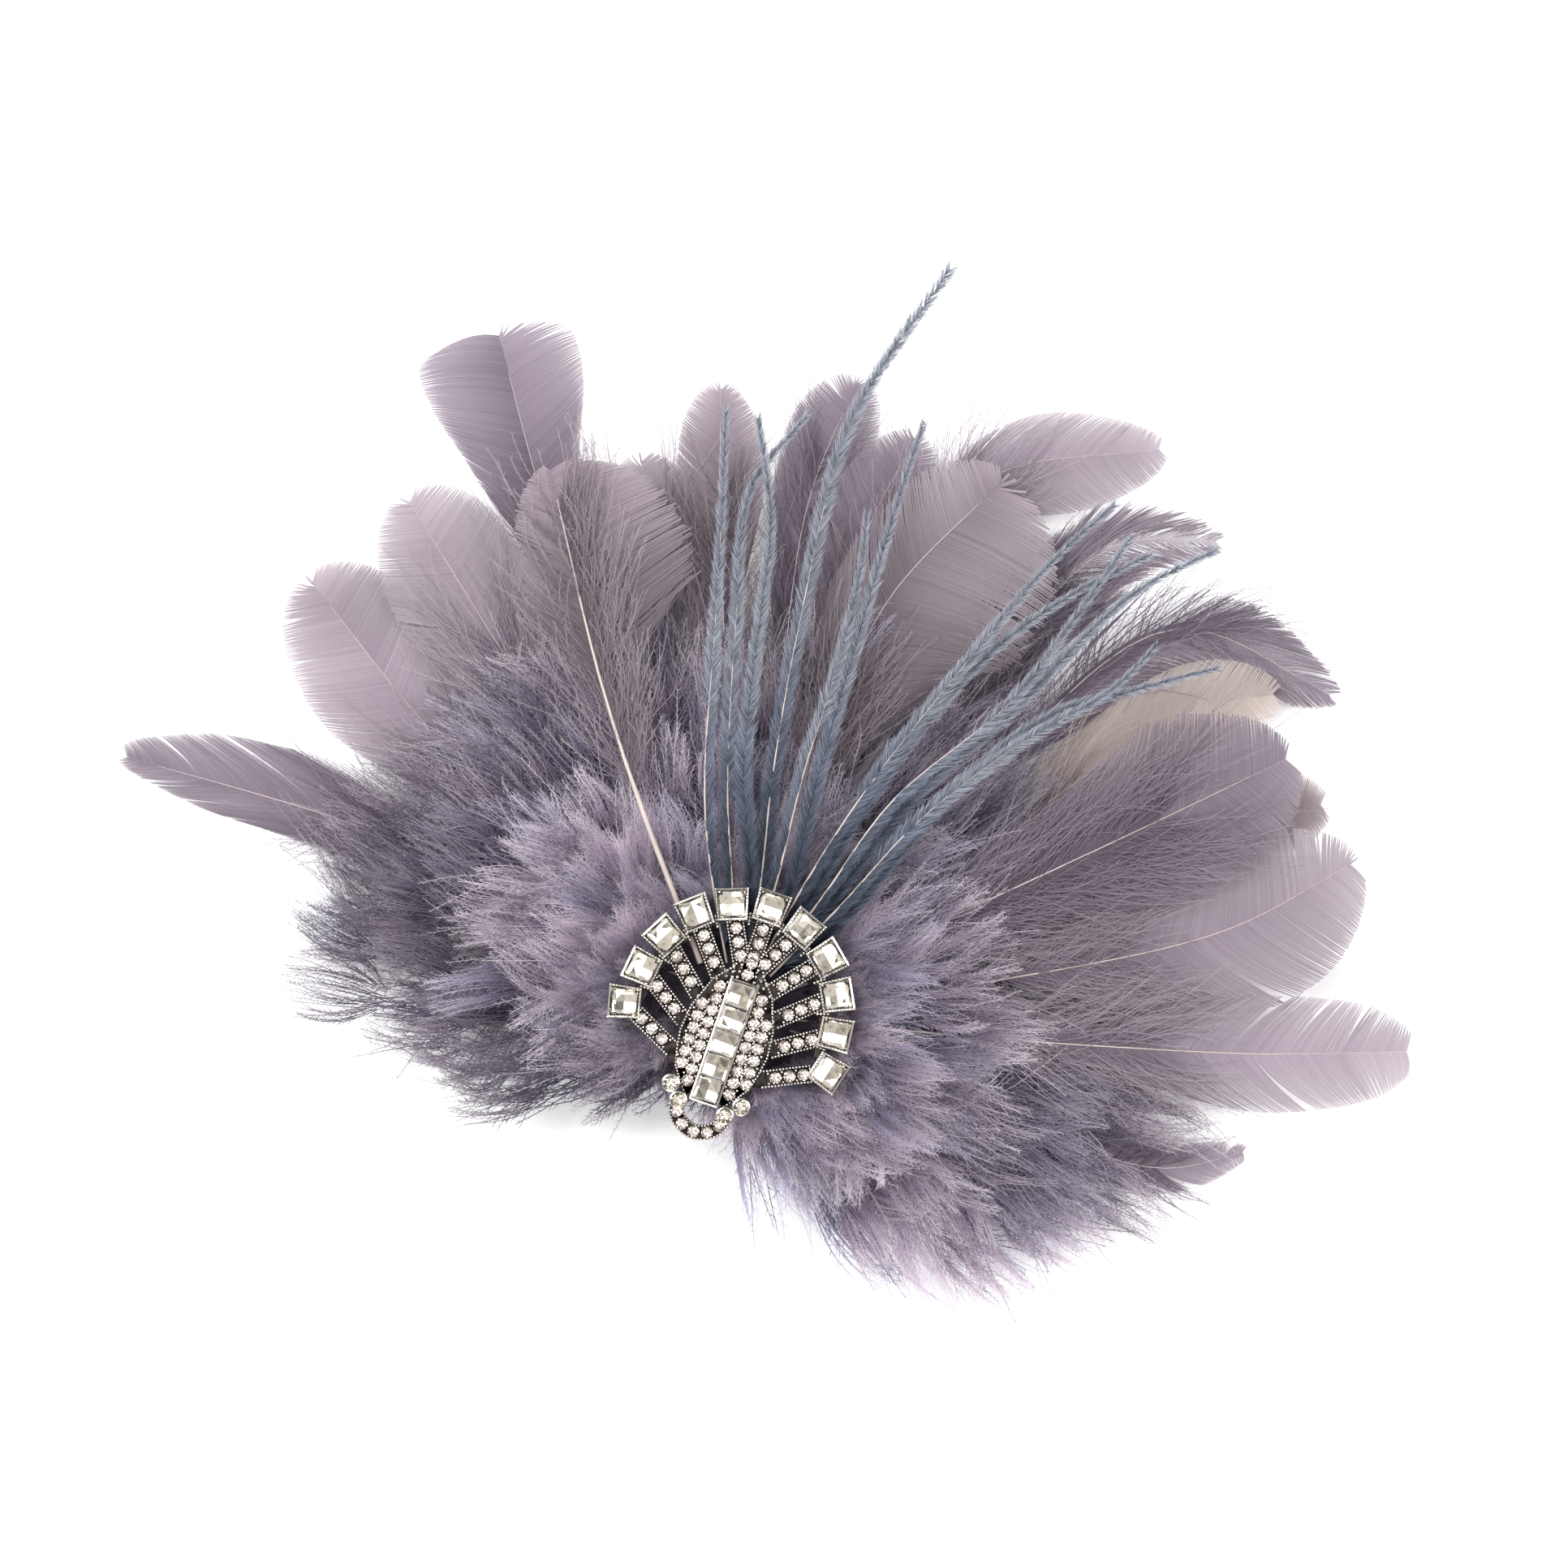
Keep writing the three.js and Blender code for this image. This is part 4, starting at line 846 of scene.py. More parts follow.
broochSizes = {
    "rimRadius": 16.3,
    "setting": 4.95,         # side of a square setting
    "settingHeight": 2.8,
    "outerFlare": 1.06,      # a setting is wider on its outer side than on its inner one
    "innerFlare": 0.92,
    "wall": 0.3,
    "ribWidth": 2.7,
    "ribHeight": 1.55,
    "ribPitch": 2.15,        # between the stones of a rib
    "barWidth": 4.6,
    "barLength": 19.0,
    "barTop": 4.5,           # where the bar begins, above the brooch's centre
    "barHeight": 3.1,
    "fieldHalf": 7.2,
    "fieldHeight": 1.75,
    "fieldPitch": 1.9,
    "bezelRadius": 1.4,
    "bezelHeight": 2.6,
    "loopRadius": 3.9,
    "loopWidth": 2.3,
    "loopHeight": 1.75,
    "bead": 0.22,            # radius of a millgrain bead
    "beadPitch": 0.5,
    "beadInset": 0.14,       # from a wall's outside to the middle of its beads
    "grain": 0.24,           # radius of the grains that hold a rib's stones
    "fieldGrain": 0.25,
    "headGrain": 0.3,
    "pocket": 1.2,           # depth of a setting's hollow
    "softEdge": 0.1,         # bevel of the ribs, bridges and plates
    "wallEdge": 0.12,        # bevel of the settings' walls
    "ribGap": 0.2,           # between a setting and the first stone of its rib
    "roundStone": 0.94,      # radius of a pave stone
    "stoneRise": 0.27,       # a pave stone's girdle above the metal's height
    "cutDrop": 0.62,         # a cut stone's girdle below the top of the solid that it replaces
}
# turn is a setting's angle, out its distance as a share of rimRadius, foot where its rib ends on the bar
rimRows = [
    {"turn": 0, "out": 1.035, "foot": 0},
    {"turn": 20.5, "out": 1.01, "foot": 0},
    {"turn": 41, "out": 1, "foot": 0.27},
    {"turn": 61.8, "out": 0.97, "foot": 0.49},
    {"turn": 83.4, "out": 0.965, "foot": 0.68},
    {"turn": 103.9, "out": 1.04, "foot": 0.87},
]
rimSettings = [{**row, "turn": -row["turn"]} for row in reversed(rimRows[1:])] + rimRows
# half of the field beside the bar, as shares of fieldHalf and barLength
fieldEdge = [
    (0.35, 0.1), (0.68, -0.04), (0.94, -0.3), (1, -0.51),
    (0.93, -0.67), (0.84, -0.8), (0.65, -0.9), (0.45, -0.99),
]
# grains of metal at the bar's head: beside the middle line and above barTop, in mm
headGrains = [
    (1.35, 0.6), (1.3, 1.5), (1.3, 2.6), (2.1, 0.35), (2.25, 1.15), (2.4, 2.0), (3.0, 0.2), (3.2, 1.0),
]
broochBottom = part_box("brooch_frame")[0][2] / mm


def settleMesh(obj, place=(0, 0, 0), turn=0.0):
    # puts a finished part's place into its mesh; turn is in degrees clockwise seen from above
    matrix = Matrix.Translation(Vector(place) * mm) @ Matrix.Rotation(-math.radians(turn), 4, "Z")
    obj.data.transform(matrix @ obj.matrix_world)
    obj.matrix_world = Matrix()
    return obj


def copyOf(obj, place=(0, 0, 0), turn=0.0):
    twin = bpy.data.objects.new(obj.name, obj.data.copy())
    bpy.context.scene.collection.objects.link(twin)
    return settleMesh(twin, place, turn)


def joined(name, objects):
    selectNone()
    for obj in objects:
        obj.select_set(True)
    bpy.context.view_layer.objects.active = objects[0]
    bpy.ops.object.join()
    objects[0].name = name
    objects[0].data.name = name
    return objects[0]


def newPrimitive(add, **settings):
    selectNone()
    add(**settings)
    return bpy.context.active_object


def pickFaces(obj, test):
    # selects the faces of the object in edit mode that pass the test
    mesh = bmesh.from_edit_mesh(obj.data)
    mesh.faces.ensure_lookup_table()
    for face in mesh.faces:
        face.select_set(False)
    for face in mesh.faces:
        if test(face):
            face.select_set(True)
    mesh.select_flush_mode()
    bmesh.update_edit_mesh(obj.data)


def sizedBox(width, length, height):
    # a block standing on z = 0 with its size in its mesh
    box = newPrimitive(bpy.ops.mesh.primitive_cube_add, size=1.0)
    scale = Matrix.Diagonal((width * mm, length * mm, height * mm, 1))
    box.data.transform(Matrix.Translation((0, 0, height * mm / 2)) @ scale)
    return box


def softenEdges(obj, width):
    modifier = obj.modifiers.new("softEdges", "BEVEL")
    modifier.width = width * mm
    modifier.segments = 2
    modifier.limit_method = "ANGLE"
    bpy.context.view_layer.objects.active = obj
    bpy.ops.object.modifier_apply(modifier=modifier.name)
    return obj


def hollowTop(obj, wall, depth):
    # sinks a pocket into the top face
    bpy.context.view_layer.objects.active = obj
    bpy.ops.object.mode_set(mode="EDIT")
    pickFaces(obj, lambda face: face.normal.z > 0.9)
    bpy.ops.mesh.inset(thickness=wall * mm, depth=0)
    bpy.ops.mesh.extrude_region_move(TRANSFORM_OT_translate={"value": (0, 0, -depth * mm)})
    bpy.ops.object.mode_set(mode="OBJECT")
    return obj


def turnOf(start, end):
    # degrees clockwise from +Y, as polar and settleMesh take them
    return math.degrees(math.atan2(end[0] - start[0], end[1] - start[1]))


def makeBead(radius):
    bead = newPrimitive(bpy.ops.mesh.primitive_ico_sphere_add, subdivisions=2, radius=radius * mm)
    bpy.ops.object.shade_smooth()
    return bead


def beadRow(start, end, height, radius=None, pitch=None):
    # a row of millgrain beads from one point to another, seated on the metal at this height
    size = broochSizes
    run = math.dist(start, end)
    count = max(2, round(run / (pitch or size["beadPitch"])) + 1)
    bead = makeBead(radius or size["bead"])
    array = bead.modifiers.new("row", "ARRAY")
    array.count = count
    array.use_relative_offset = False
    array.use_constant_offset = True
    array.constant_offset_displace = (0, run / (count - 1) * mm, 0)
    bpy.ops.object.modifier_apply(modifier=array.name)
    return settleMesh(bead, (start[0], start[1], height), turnOf(start, end))


def makeCup():
    # a box setting: wider on its outer side, hollow, with thin soft-edged walls
    size = broochSizes
    cup = sizedBox(size["setting"], size["setting"], size["settingHeight"])
    bpy.ops.object.mode_set(mode="EDIT")
    pickFaces(cup, lambda face: face.normal.y > 0.9)
    bpy.ops.transform.resize(value=(size["outerFlare"], 1.0, 1.0))
    pickFaces(cup, lambda face: face.normal.y < -0.9)
    bpy.ops.transform.resize(value=(size["innerFlare"], 1.0, 1.0))
    bpy.ops.object.mode_set(mode="OBJECT")
    return hollowTop(softenEdges(cup, size["wallEdge"]), size["wall"], size["pocket"])


def cutStone(stone, sides, crown, table, pavilion):
    # two steps of crown facets up to a table; below, a ring of kite facets and a star that meets in one point
    bpy.context.view_layer.objects.active = stone
    bpy.ops.object.mode_set(mode="EDIT")
    pickFaces(stone, lambda face: face.normal.z > 0.9)
    for rise, share in ((0.65, (1 + table) / 2), (0.35, 2 * table / (1 + table))):
        bpy.ops.mesh.extrude_region_move(TRANSFORM_OT_translate={"value": (0, 0, crown * rise * mm)})
        bpy.ops.transform.resize(value=(share, share, 1.0))
    pickFaces(stone, lambda face: face.normal.z < -0.9)
    bpy.ops.mesh.extrude_region_move(TRANSFORM_OT_translate={"value": (0, 0, -pavilion * 0.55 * mm)})
    bpy.ops.transform.resize(value=(0.55, 0.55, 1.0))
    bpy.ops.transform.rotate(value=math.pi / sides, orient_axis="Z", center_override=(0, 0, 0))
    bpy.ops.mesh.extrude_region_move(TRANSFORM_OT_translate={"value": (0, 0, -pavilion * 0.45 * mm)})
    bpy.ops.mesh.merge(type="CENTER")
    bpy.ops.object.mode_set(mode="OBJECT")
    return stone


def makeRoundStone(radius):
    # a small brilliant with ten facets to a step
    girdle = 0.12
    stone = newPrimitive(
        bpy.ops.mesh.primitive_cylinder_add, vertices=10, radius=radius * mm, depth=girdle * mm,
    )
    return cutStone(stone, 10, radius * 0.3, 0.6, radius * 0.32)


def makeSquareStone(width, length, crown, table):
    # square cut over a shallow star
    return cutStone(sizedBox(width, length, 0.2), 4, crown, table, min(width, length) * 0.14)


def paintSlots(obj, materials, test):
    # the second material goes to the faces that pass the test
    obj.data.materials.clear()
    for material in materials:
        obj.data.materials.append(material)
    for face in obj.data.polygons:
        face.material_index = 1 if test(face) else 0
    return obj


def coat(obj, metals, blackTop=False):
    # wiped walls and beads stay bright; pockets, and the ground between the stones, are black
    top = max(vertex.co.z for vertex in obj.data.vertices)

    def isBlack(face):
        return face.normal.z > 0.6 and (blackTop or face.center.z < top - 0.5 * mm)

    return paintSlots(obj, metals, isBlack)


def settingPlace(row):
    return polar(row["turn"], broochSizes["rimRadius"] * row["out"])


def makeRim(metals, stones):
    # the square settings, the ribs that carry them and the bridges between them
    size = broochSizes
    side, inset, gap, pitch = size["setting"], size["beadInset"], size["ribGap"], size["ribPitch"]
    parts = []
    for row in rimSettings:
        place = settingPlace(row)
        ahead = polar(row["turn"], 1.0)
        right = np.array([ahead[1], -ahead[0]])
        parts.append(settleMesh(coat(makeCup(), metals), (*place, 0), row["turn"]))
        outer, inner = side / 2 * size["outerFlare"] - inset, side / 2 * size["innerFlare"] - inset
        reach = side / 2 - inset
        seat = size["settingHeight"] - 0.02
        for edge in (-1, 1):
            start = place + ahead * reach + right * edge * outer
            end = place - ahead * reach + right * edge * inner
            parts.append(coat(beadRow(start, end, seat), metals))
        start, end = place - ahead * reach - right * inner, place - ahead * reach + right * inner
        parts.append(coat(beadRow(start, end, seat), metals))

        foot = np.array([0.0, size["barTop"] - size["barLength"] * row["foot"]])
        run = math.dist(place, foot)
        step = (foot - place) / run
        beside = np.array([step[1], -step[0]])
        rib = softenEdges(sizedBox(size["ribWidth"], run, size["ribHeight"] - 0.2), size["softEdge"])
        rib = settleMesh(rib, (*((place + foot) / 2), 0), turnOf(place, foot))
        parts.append(coat(rib, metals, blackTop=True))
        first = side / 2 + gap
        last = side / 2 + 3 * pitch + 1.3
        for edge in (-1, 1):
            offset = beside * edge * (size["ribWidth"] / 2 - 0.15)
            beads = beadRow(place + step * first + offset, place + step * last + offset, 1.45)
            parts.append(coat(beads, metals))
            for k in range(4):  # grains that hold the stones
                spot = place + step * (side / 2 + pitch * k + gap) + offset * 0.62
                grain = settleMesh(makeBead(size["grain"]), (*spot, size["ribHeight"] - 0.1))
                parts.append(coat(grain, metals))
        for k in range(3):
            spot = place + step * (side / 2 + gap + pitch * (k + 0.5))
            stones.append((spot[0], spot[1], size["ribHeight"]))
    for one, other in zip(rimSettings[:-1], rimSettings[1:]):
        a = polar(one["turn"], size["rimRadius"] * one["out"] - side * 0.38)
        b = polar(other["turn"], size["rimRadius"] * other["out"] - side * 0.38)
        middle = (a + b) / 2
        bridge = softenEdges(sizedBox(side * 0.3, math.dist(a, b), size["ribHeight"]), size["softEdge"])
        parts.append(coat(settleMesh(bridge, (*middle, 0), turnOf(a, b)), metals, blackTop=True))
        inwards = -middle / np.linalg.norm(middle)
        beads = beadRow(middle - inwards * 0.6, middle + inwards * 1.0, size["ribHeight"] + 0.05, 0.28, 0.55)
        parts.append(coat(beads, metals))
    return parts


def extrudedOutline(name, outline, height):
    # a flat plate from its outline, counter-clockwise seen from above
    mesh = bpy.data.meshes.new(name)
    mesh.from_pydata([(x * mm, y * mm, 0) for x, y in outline], [], [tuple(range(len(outline)))])
    plate = bpy.data.objects.new(name, mesh)
    bpy.context.scene.collection.objects.link(plate)
    selectNone()
    bpy.context.view_layer.objects.active = plate
    plate.select_set(True)
    bpy.ops.object.mode_set(mode="EDIT")
    bpy.ops.mesh.select_all(action="SELECT")
    bpy.ops.mesh.extrude_region_move(TRANSFORM_OT_translate={"value": (0, 0, height * mm)})
    bpy.ops.mesh.select_all(action="SELECT")
    bpy.ops.mesh.normals_make_consistent(inside=False)
    bpy.ops.object.mode_set(mode="OBJECT")
    return plate


def makeField(metals, stones):
    # the ground beside the bar with its columns of stones, and the bar's channel
    size = broochSizes
    right = [(x * size["fieldHalf"], size["barTop"] + y * size["barLength"]) for x, y in fieldEdge]
    outline = right + [(-x, y) for x, y in reversed(right)]
    field = extrudedOutline("field", outline[::-1], size["fieldHeight"] - 0.2)
    parts = [coat(softenEdges(field, size["softEdge"]), metals, blackTop=True)]
    seat = size["fieldHeight"] - 0.12
    for (x0, y0), (x1, y1) in zip(right[:-1], right[1:]):
        for flip in (-1, 1):
            parts.append(coat(beadRow((x0 * 0.97 * flip, y0), (x1 * 0.97 * flip, y1), seat), metals))
    channel = sizedBox(size["barWidth"], size["barLength"] + size["wall"] * 2, size["barHeight"])
    channel = hollowTop(softenEdges(channel, size["wallEdge"]), size["wall"] * 0.8, size["pocket"])
    parts.append(settleMesh(coat(channel, metals), (0, size["barTop"] - size["barLength"] / 2, 0)))
    pitch = size["fieldPitch"]
    inner = size["barWidth"] / 2 + 1.08
    columns = [(inner, 1.6, 9), (inner + pitch * 0.95, 5.0, 6)]  # across, first stone below barTop, how many
    for flip in (-1, 1):
        for across, first, count in columns:
            for k in range(count):
                y = size["barTop"] - first - pitch * k
                stones.append((flip * across, y, size["fieldHeight"] - 0.1))
                for dx in (0.92, -0.92):
                    grain = makeBead(size["fieldGrain"])
                    spot = (flip * across + dx * 0.98, y + 0.5 * pitch, size["fieldHeight"] - 0.02)
                    parts.append(coat(settleMesh(grain, spot), metals))
    for k in range(2):
        stones.append((0, size["barTop"] + 1.45 + k * pitch, size["fieldHeight"] - 0.05))
    for across, above in headGrains:
        for flip in (-1, 1):
            spot = (flip * across, size["barTop"] + above, size["fieldHeight"] - 0.15)
            parts.append(coat(settleMesh(makeBead(size["headGrain"]), spot), metals))
    return parts


def makeFoot(metals, stones):
    # the loop with its stones and the four larger round settings
    size = broochSizes
    middle = (0.0, size["barTop"] - size["barLength"] - 1.0)
    inside, outside = size["loopRadius"] - size["loopWidth"] / 2, size["loopRadius"] + size["loopWidth"] / 2
    steps = 28  # of the half circle
    turns = [math.pi * (1 + k / steps) for k in range(steps + 1)]
    arc = [(outside * math.cos(a), outside * math.sin(a)) for a in turns]
    arc += [(inside * math.cos(a), inside * math.sin(a)) for a in reversed(turns)]
    loop = softenEdges(extrudedOutline("loop", arc, size["loopHeight"] - 0.2), size["wallEdge"])
    parts = [coat(settleMesh(loop, (*middle, 0)), metals, blackTop=True)]
    for radius in (inside + size["beadInset"], outside - size["beadInset"]):
        count = int(math.pi * radius / size["beadPitch"])
        for k in range(count + 1):
            angle = math.pi * (1 + k / count)
            spot = (middle[0] + radius * math.cos(angle), middle[1] + radius * math.sin(angle))
            parts.append(coat(settleMesh(makeBead(size["bead"]), (*spot, size["loopHeight"] - 0.12)), metals))
    for k in range(5):
        angle = math.pi * (1 + (k + 0.9) / 5.8)
        x = middle[0] + size["loopRadius"] * math.cos(angle)
        y = middle[1] + size["loopRadius"] * math.sin(angle)
        stones.append((x, y, size["loopHeight"] - 0.05))
    for number in range(4):
        low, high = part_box(f"bezel_stone_{number + 1}")
        centre = ((low[0] + high[0]) / 2 / mm, (low[1] + high[1]) / 2 / mm)
        cup = newPrimitive(
            bpy.ops.mesh.primitive_cylinder_add, vertices=32, radius=size["bezelRadius"] * mm,
            depth=size["bezelHeight"] * mm, location=(0, 0, size["bezelHeight"] / 2 * mm),
        )
        cup = hollowTop(softenEdges(settleMesh(cup), size["softEdge"]), 0.22, size["pocket"])
        for face in cup.data.polygons:
            face.use_smooth = abs(face.normal.z) < 0.5
        parts.append(settleMesh(coat(cup, metals), (*centre, 0)))
        arm = sizedBox(size["bezelRadius"], 4.4, size["ribHeight"])
        arm = settleMesh(arm, (centre[0] * 0.9, centre[1] + 1.4, 0), turnOf((0, 0), (-centre[0] * 0.4, 4.0)))
        parts.append(coat(arm, metals, blackTop=True))
    return parts


def makeShell(metals):
    stones = []
    parts = makeRim(metals, stones) + makeField(metals, stones) + makeFoot(metals, stones)
    shell = joined("cast_shell", parts)
    shell.data.transform(Matrix.Translation((0, 0, broochBottom * mm)))
    finishPiece(shell, "antique_silver", "brooch_frame")
    return stones


def tilted(obj, rng, spread):
    # no two stones are set quite alike
    tip = Matrix.Rotation(math.radians(rng.normal(0, spread)), 4, "X")
    obj.data.transform(tip @ Matrix.Rotation(math.radians(rng.normal(0, spread)), 4, "Y"))
    return obj


def foiled(face):
    return face.normal.z < -0.1


def makePave(stones, glass, foil):
    size = broochSizes
    rng = np.random.default_rng(7)
    master = paintSlots(makeRoundStone(size["roundStone"]), [glass, foil], foiled)
    copies = []
    for x, y, z in stones:
        twin = tilted(copyOf(master), rng, 3.5)
        copies.append(settleMesh(twin, (x, y, z + broochBottom + size["stoneRise"]), rng.uniform(0, 36)))
    bpy.data.objects.remove(master)
    finishPiece(joined("pave_stones", copies), "crystal")


def makeCutStones(glass, foil):
    size = broochSizes
    rng = np.random.default_rng(8)
    side = size["setting"] - 2 * size["wall"] - 0.12
    masters = {
        "rim": makeSquareStone(side, side, 0.42, 0.56),
        "bar": makeSquareStone(size["barWidth"] - 2 * size["wall"] + 0.05, size["barLength"] / 5, 0.24, 0.66),
        "bezel": makeRoundStone(size["bezelRadius"] - 0.24),
    }
    for master in masters.values():
        paintSlots(master, [glass, foil], foiled)
    places = [(f"rim_stone_{k + 1:02d}", "rim", row["turn"]) for k, row in enumerate(rimSettings)]
    places += [(f"bar_stone_{k + 1}", "bar", 0.0) for k in range(5)]
    places += [(f"bezel_stone_{k + 1}", "bezel", 20.0 * k) for k in range(4)]
    for node, kind, turn in places:
        low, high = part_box(node)
        centre = ((low[0] + high[0]) / 2 / mm, (low[1] + high[1]) / 2 / mm, high[2] / mm - size["cutDrop"])
        stone = settleMesh(tilted(copyOf(masters[kind]), rng, 3.0), centre, turn)
        stone.name = "cut_" + node
        finishPiece(stone, "crystal", node)
    for master in masters.values():
        bpy.data.objects.remove(master)


def castSilver(name, bright, dull, roughness, grain):
    # cast white metal, silver-plated: the tarnish comes and goes in soft patches of a millimetre or two
    material, tree, shader = newMaterial(name)
    spot = addNode(tree, "ShaderNodeTexCoord")
    place = {"Vector": spot.outputs["Object"]}
    patches = addNode(tree, "ShaderNodeTexNoise", {"Scale": 700.0, "Detail": 4.0}, place)
    wear = {"From Min": 0.35, "From Max": 0.7}
    worn = addNode(tree, "ShaderNodeMapRange", wear, {"Value": patches.outputs["Fac"]})
    tone = addNode(tree, "ShaderNodeMix", {"data_type": "RGBA"}, {"Factor": worn.outputs[0]})
    tone.inputs[6].default_value = hexColor(bright)
    tone.inputs[7].default_value = hexColor(dull)
    tree.links.new(tone.outputs[2], shader.inputs["Base Color"])
    shader.inputs["Metallic"].default_value = 1.0
    gloss = {"To Min": roughness, "To Max": roughness + 0.14}
    rough = addNode(tree, "ShaderNodeMapRange", gloss, {"Value": worn.outputs[0]})
    tree.links.new(rough.outputs[0], shader.inputs["Roughness"])
    sand = addNode(tree, "ShaderNodeTexNoise", {"Scale": 4000.0, "Detail": 2.0}, place)
    pits = {"Strength": grain, "Distance": 0.05 * mm}
    bump = addNode(tree, "ShaderNodeBump", pits, {"Height": sand.outputs["Fac"]})
    tree.links.new(bump.outputs[0], shader.inputs["Normal"])
    return material


def cutGlass():
    # lead glass, cut and polished: clear with a breath of grey green
    material, _, shader = newMaterial("cutLeadGlass")
    shader.inputs["Base Color"].default_value = hexColor("#f6f6ee")
    shader.inputs["Roughness"].default_value = 0.0
    shader.inputs["IOR"].default_value = 1.56
    shader.inputs["Transmission Weight"].default_value = 1.0
    return material


def silveredFoil(name, colour, roughness):
    # the stone's silvered back, seen through it
    material, _, shader = newMaterial(name)
    shader.inputs["Base Color"].default_value = hexColor(colour)
    shader.inputs["Metallic"].default_value = 1.0
    shader.inputs["Roughness"].default_value = roughness
    return material


def dressNode(name, material):
    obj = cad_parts[name]
    obj.data.materials.clear()
    obj.data.materials.append(material)


def springSteel():
    # nickel-plated strip: rolling lines along X and a faint cloud of handling
    material, tree, shader = newMaterial("nickelSpringSteel")
    spot = addNode(tree, "ShaderNodeTexCoord")
    place = {"Vector": spot.outputs["Object"]}
    stretch = addNode(tree, "ShaderNodeMapping", {"Scale": (30.0, 2500.0, 2500.0)}, place)
    lines = addNode(tree, "ShaderNodeTexNoise", {"Scale": 1.0, "Detail": 3.0}, {"Vector": stretch.outputs[0]})
    clouds = addNode(tree, "ShaderNodeTexNoise", {"Scale": 120.0, "Detail": 2.0}, place)
    tone = addNode(tree, "ShaderNodeMix", {"data_type": "RGBA"}, {"Factor": clouds.outputs["Fac"]})
    tone.inputs[6].default_value = hexColor("#a9abb0")
    tone.inputs[7].default_value = hexColor("#c9cacd")
    tree.links.new(tone.outputs[2], shader.inputs["Base Color"])
    shader.inputs["Metallic"].default_value = 1.0
    gloss = {"To Min": 0.2, "To Max": 0.42}
    rough = addNode(tree, "ShaderNodeMapRange", gloss, {"Value": lines.outputs["Fac"]})
    tree.links.new(rough.outputs[0], shader.inputs["Roughness"])
    return material


def woolFelt():
    # pressed wool: matt, matted fibres a tenth of a millimetre thick
    material, tree, shader = newMaterial("pressedWoolFelt")
    spot = addNode(tree, "ShaderNodeTexCoord")
    fibres = {"Scale": 900.0, "Detail": 6.0, "Distortion": 2.5}
    matted = addNode(tree, "ShaderNodeTexNoise", fibres, {"Vector": spot.outputs["Object"]})
    tone = addNode(tree, "ShaderNodeMix", {"data_type": "RGBA"}, {"Factor": matted.outputs["Fac"]})
    tone.inputs[6].default_value = hexColor("#3d3744")
    tone.inputs[7].default_value = hexColor("#7a7183")
    tree.links.new(tone.outputs[2], shader.inputs["Base Color"])
    shader.inputs["Roughness"].default_value = 0.95
    shader.inputs["Sheen Weight"].default_value = 0.4
    nap = {"Strength": 0.5, "Distance": 0.2 * mm}
    bump = addNode(tree, "ShaderNodeBump", nap, {"Height": matted.outputs["Fac"]})
    tree.links.new(bump.outputs[0], shader.inputs["Normal"])
    return material


def hotGlue():
    # cured glue: dark, glossy, a little cloudy inside
    material, tree, shader = newMaterial("darkHotGlue")
    spot = addNode(tree, "ShaderNodeTexCoord")
    haze = {"Scale": 350.0, "Detail": 3.0}
    clouds = addNode(tree, "ShaderNodeTexNoise", haze, {"Vector": spot.outputs["Object"]})
    tone = addNode(tree, "ShaderNodeMix", {"data_type": "RGBA"}, {"Factor": clouds.outputs["Fac"]})
    tone.inputs[6].default_value = hexColor("#11141b")
    tone.inputs[7].default_value = hexColor("#39414f")
    tree.links.new(tone.outputs[2], shader.inputs["Base Color"])
    shader.inputs["Roughness"].default_value = 0.22
    return material


backSizes = {
    "padEdge": 0.35,         # exponent of the pad's rounded profile: smaller is squarer
    "padUneven": 0.18,       # mm
    "glueEdge": 0.5,
    "glueUneven": 0.45,
}


def roundedDisc(name, node, power, uneven, waves):
    # a disc with a rounded edge and an uneven skin that fills the box of its node
    low, high = (np.array(corner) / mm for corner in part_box(node))
    disc = newPrimitive(bpy.ops.mesh.primitive_uv_sphere_add, segments=72, ring_count=36, radius=1.0)
    half, middle = (high - low) / 2, (high + low) / 2
    points = np.array([vertex.co[:] for vertex in disc.data.vertices])
    flat = np.hypot(points[:, 0], points[:, 1])
    squared = np.sign(points[:, 2]) * np.abs(points[:, 2]) ** power
    points[:, :2] *= (flat**power / np.maximum(flat, 1e-6))[:, None]
    points[:, 2] = squared
    points = points * half + middle
    bumps = sum(np.sin(points @ wave + k) for k, wave in enumerate(waves)) / len(waves)
    points[:, 2] += uneven * bumps * np.sign(squared) * (np.abs(squared) > 0.3)
    points[:, :2] *= 1 + 0.02 * bumps[:, None]
    disc.data.vertices.foreach_set("co", (points * mm).ravel())
    disc.data.update()
    bpy.ops.object.shade_smooth()
    disc.name = name
    return disc


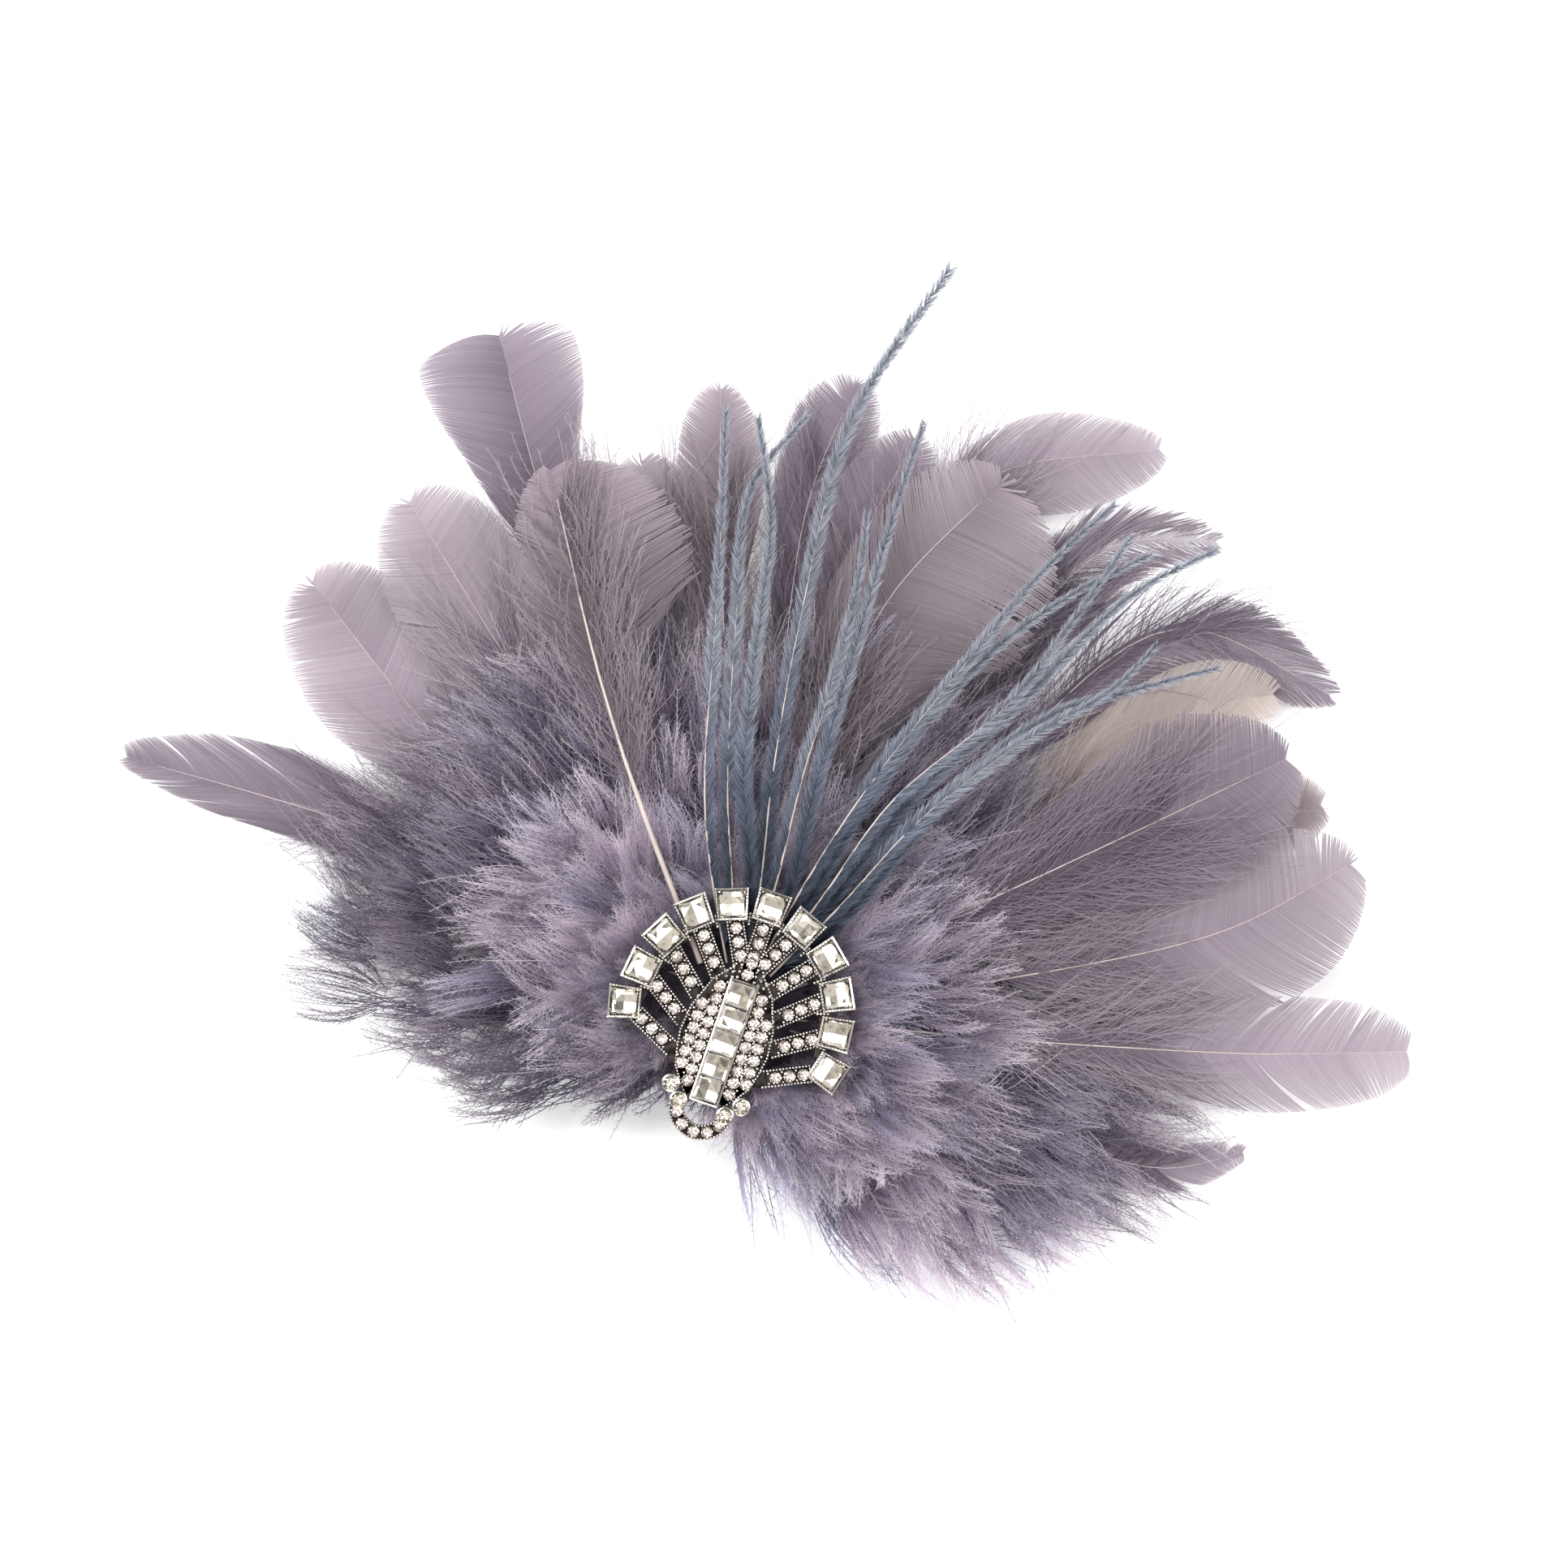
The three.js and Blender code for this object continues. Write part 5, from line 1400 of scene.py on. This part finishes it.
def makeBacking():
    rng = np.random.default_rng(9)
    size = backSizes
    waves = rng.normal(0, 0.7, (5, 3))
    pad = roundedDisc("felt_pad", "backing_pad", size["padEdge"], size["padUneven"], waves)
    pad.data.materials.append(woolFelt())
    finishPiece(pad, "felt", "backing_pad")
    waves = rng.normal(0, 1.3, (6, 3))
    glue = roundedDisc("glue_plug", "glue_bed", size["glueEdge"], size["glueUneven"], waves)
    glue.data.materials.append(hotGlue())
    finishPiece(glue, "glue", "glue_bed")


makeCamera()
makeStage()
print("stage ready")

quill = featherQuill()
# each colour's stops from root to tip, darker at the root in part as painted shade, its colour for painted
# shade, and the share of light that passes through
featherColours = {
    "mauve": ([(0, "#6f6474"), (0.45, "#948795"), (1, "#aa9fa9")], "#4a4250", 0.42),
    # the pale one is the mauve painted lighter: painted light where thin outer vanes let the table's light
    # through
    "pale": ([(0, "#8a7f8c"), (0.4, "#aea2ad"), (1, "#c1b7bd")], "#6c6370", 0.5),
    "dusk": ([(0, "#71656f"), (0.5, "#93878f"), (1, "#bbafb7")], "#4a404a", 0.42),
    "cream": ([(0, "#b5a8ad"), (0.45, "#d6cac4"), (1, "#e6dbd0")], "#93878a", 0.55),
    # the cream painted darker and greyer: painted shade on the feather that lies behind
    "ash": ([(0, "#9f949b"), (0.45, "#bcb0b4"), (1, "#cabfc0")], "#857a80", 0.5),
}
finishes = {dye: dyedAndShadedFeather(f"{dye}GooseVane", *values) for dye, values in featherColours.items()}
makeFeathers(finishes, quill)
print("flat feathers ready")

herlStops = [(0, "#36404e"), (0.3, "#626c7f"), (0.65, "#98a0b2"), (1, "#c6cad4")]
makeHerls(dyedAndShadedFeather("blueHerl", herlStops, "#2b323f", 0.3), quill)
print("herls ready")

# two dyes share the chart: pinkish mauve in its first half, slate in the second; each is darker at the root
# in part as painted shade
downStops = [
    (0, "#6f6276"), (0.2, "#ac9db0"), (0.49, "#ede1ea"), (0.5, "#5b566b"), (0.7, "#9992a9"), (1, "#d8d2e2"),
]
marabou = dyedAndShadedFeather("mauveMarabouDown", downStops, "#2f283a", 0.42, 0.3)
for layer in ("lower", "upper"):
    for sideName in ("left", "right"):
        makeDown(layer, sideName, marabou)
print("down ready")

glass = cutGlass()
polished = castSilver("polishedSilverPlate", "#d6d1ca", "#8d8884", 0.12, 0.06)
blackened = castSilver("blackenedSilverPlate", "#1f1c1c", "#57514e", 0.32, 0.6)
paveStones = makeShell([polished, blackened])
makePave(paveStones, glass, silveredFoil("pinkishFoil", "#eee3e1", 0.06))
makeCutStones(glass, silveredFoil("champagneFoil", "#efe6dc", 0.04))
print("brooch ready")

makeBacking()
dressNode("hair_clip", springSteel())
print("backing ready")
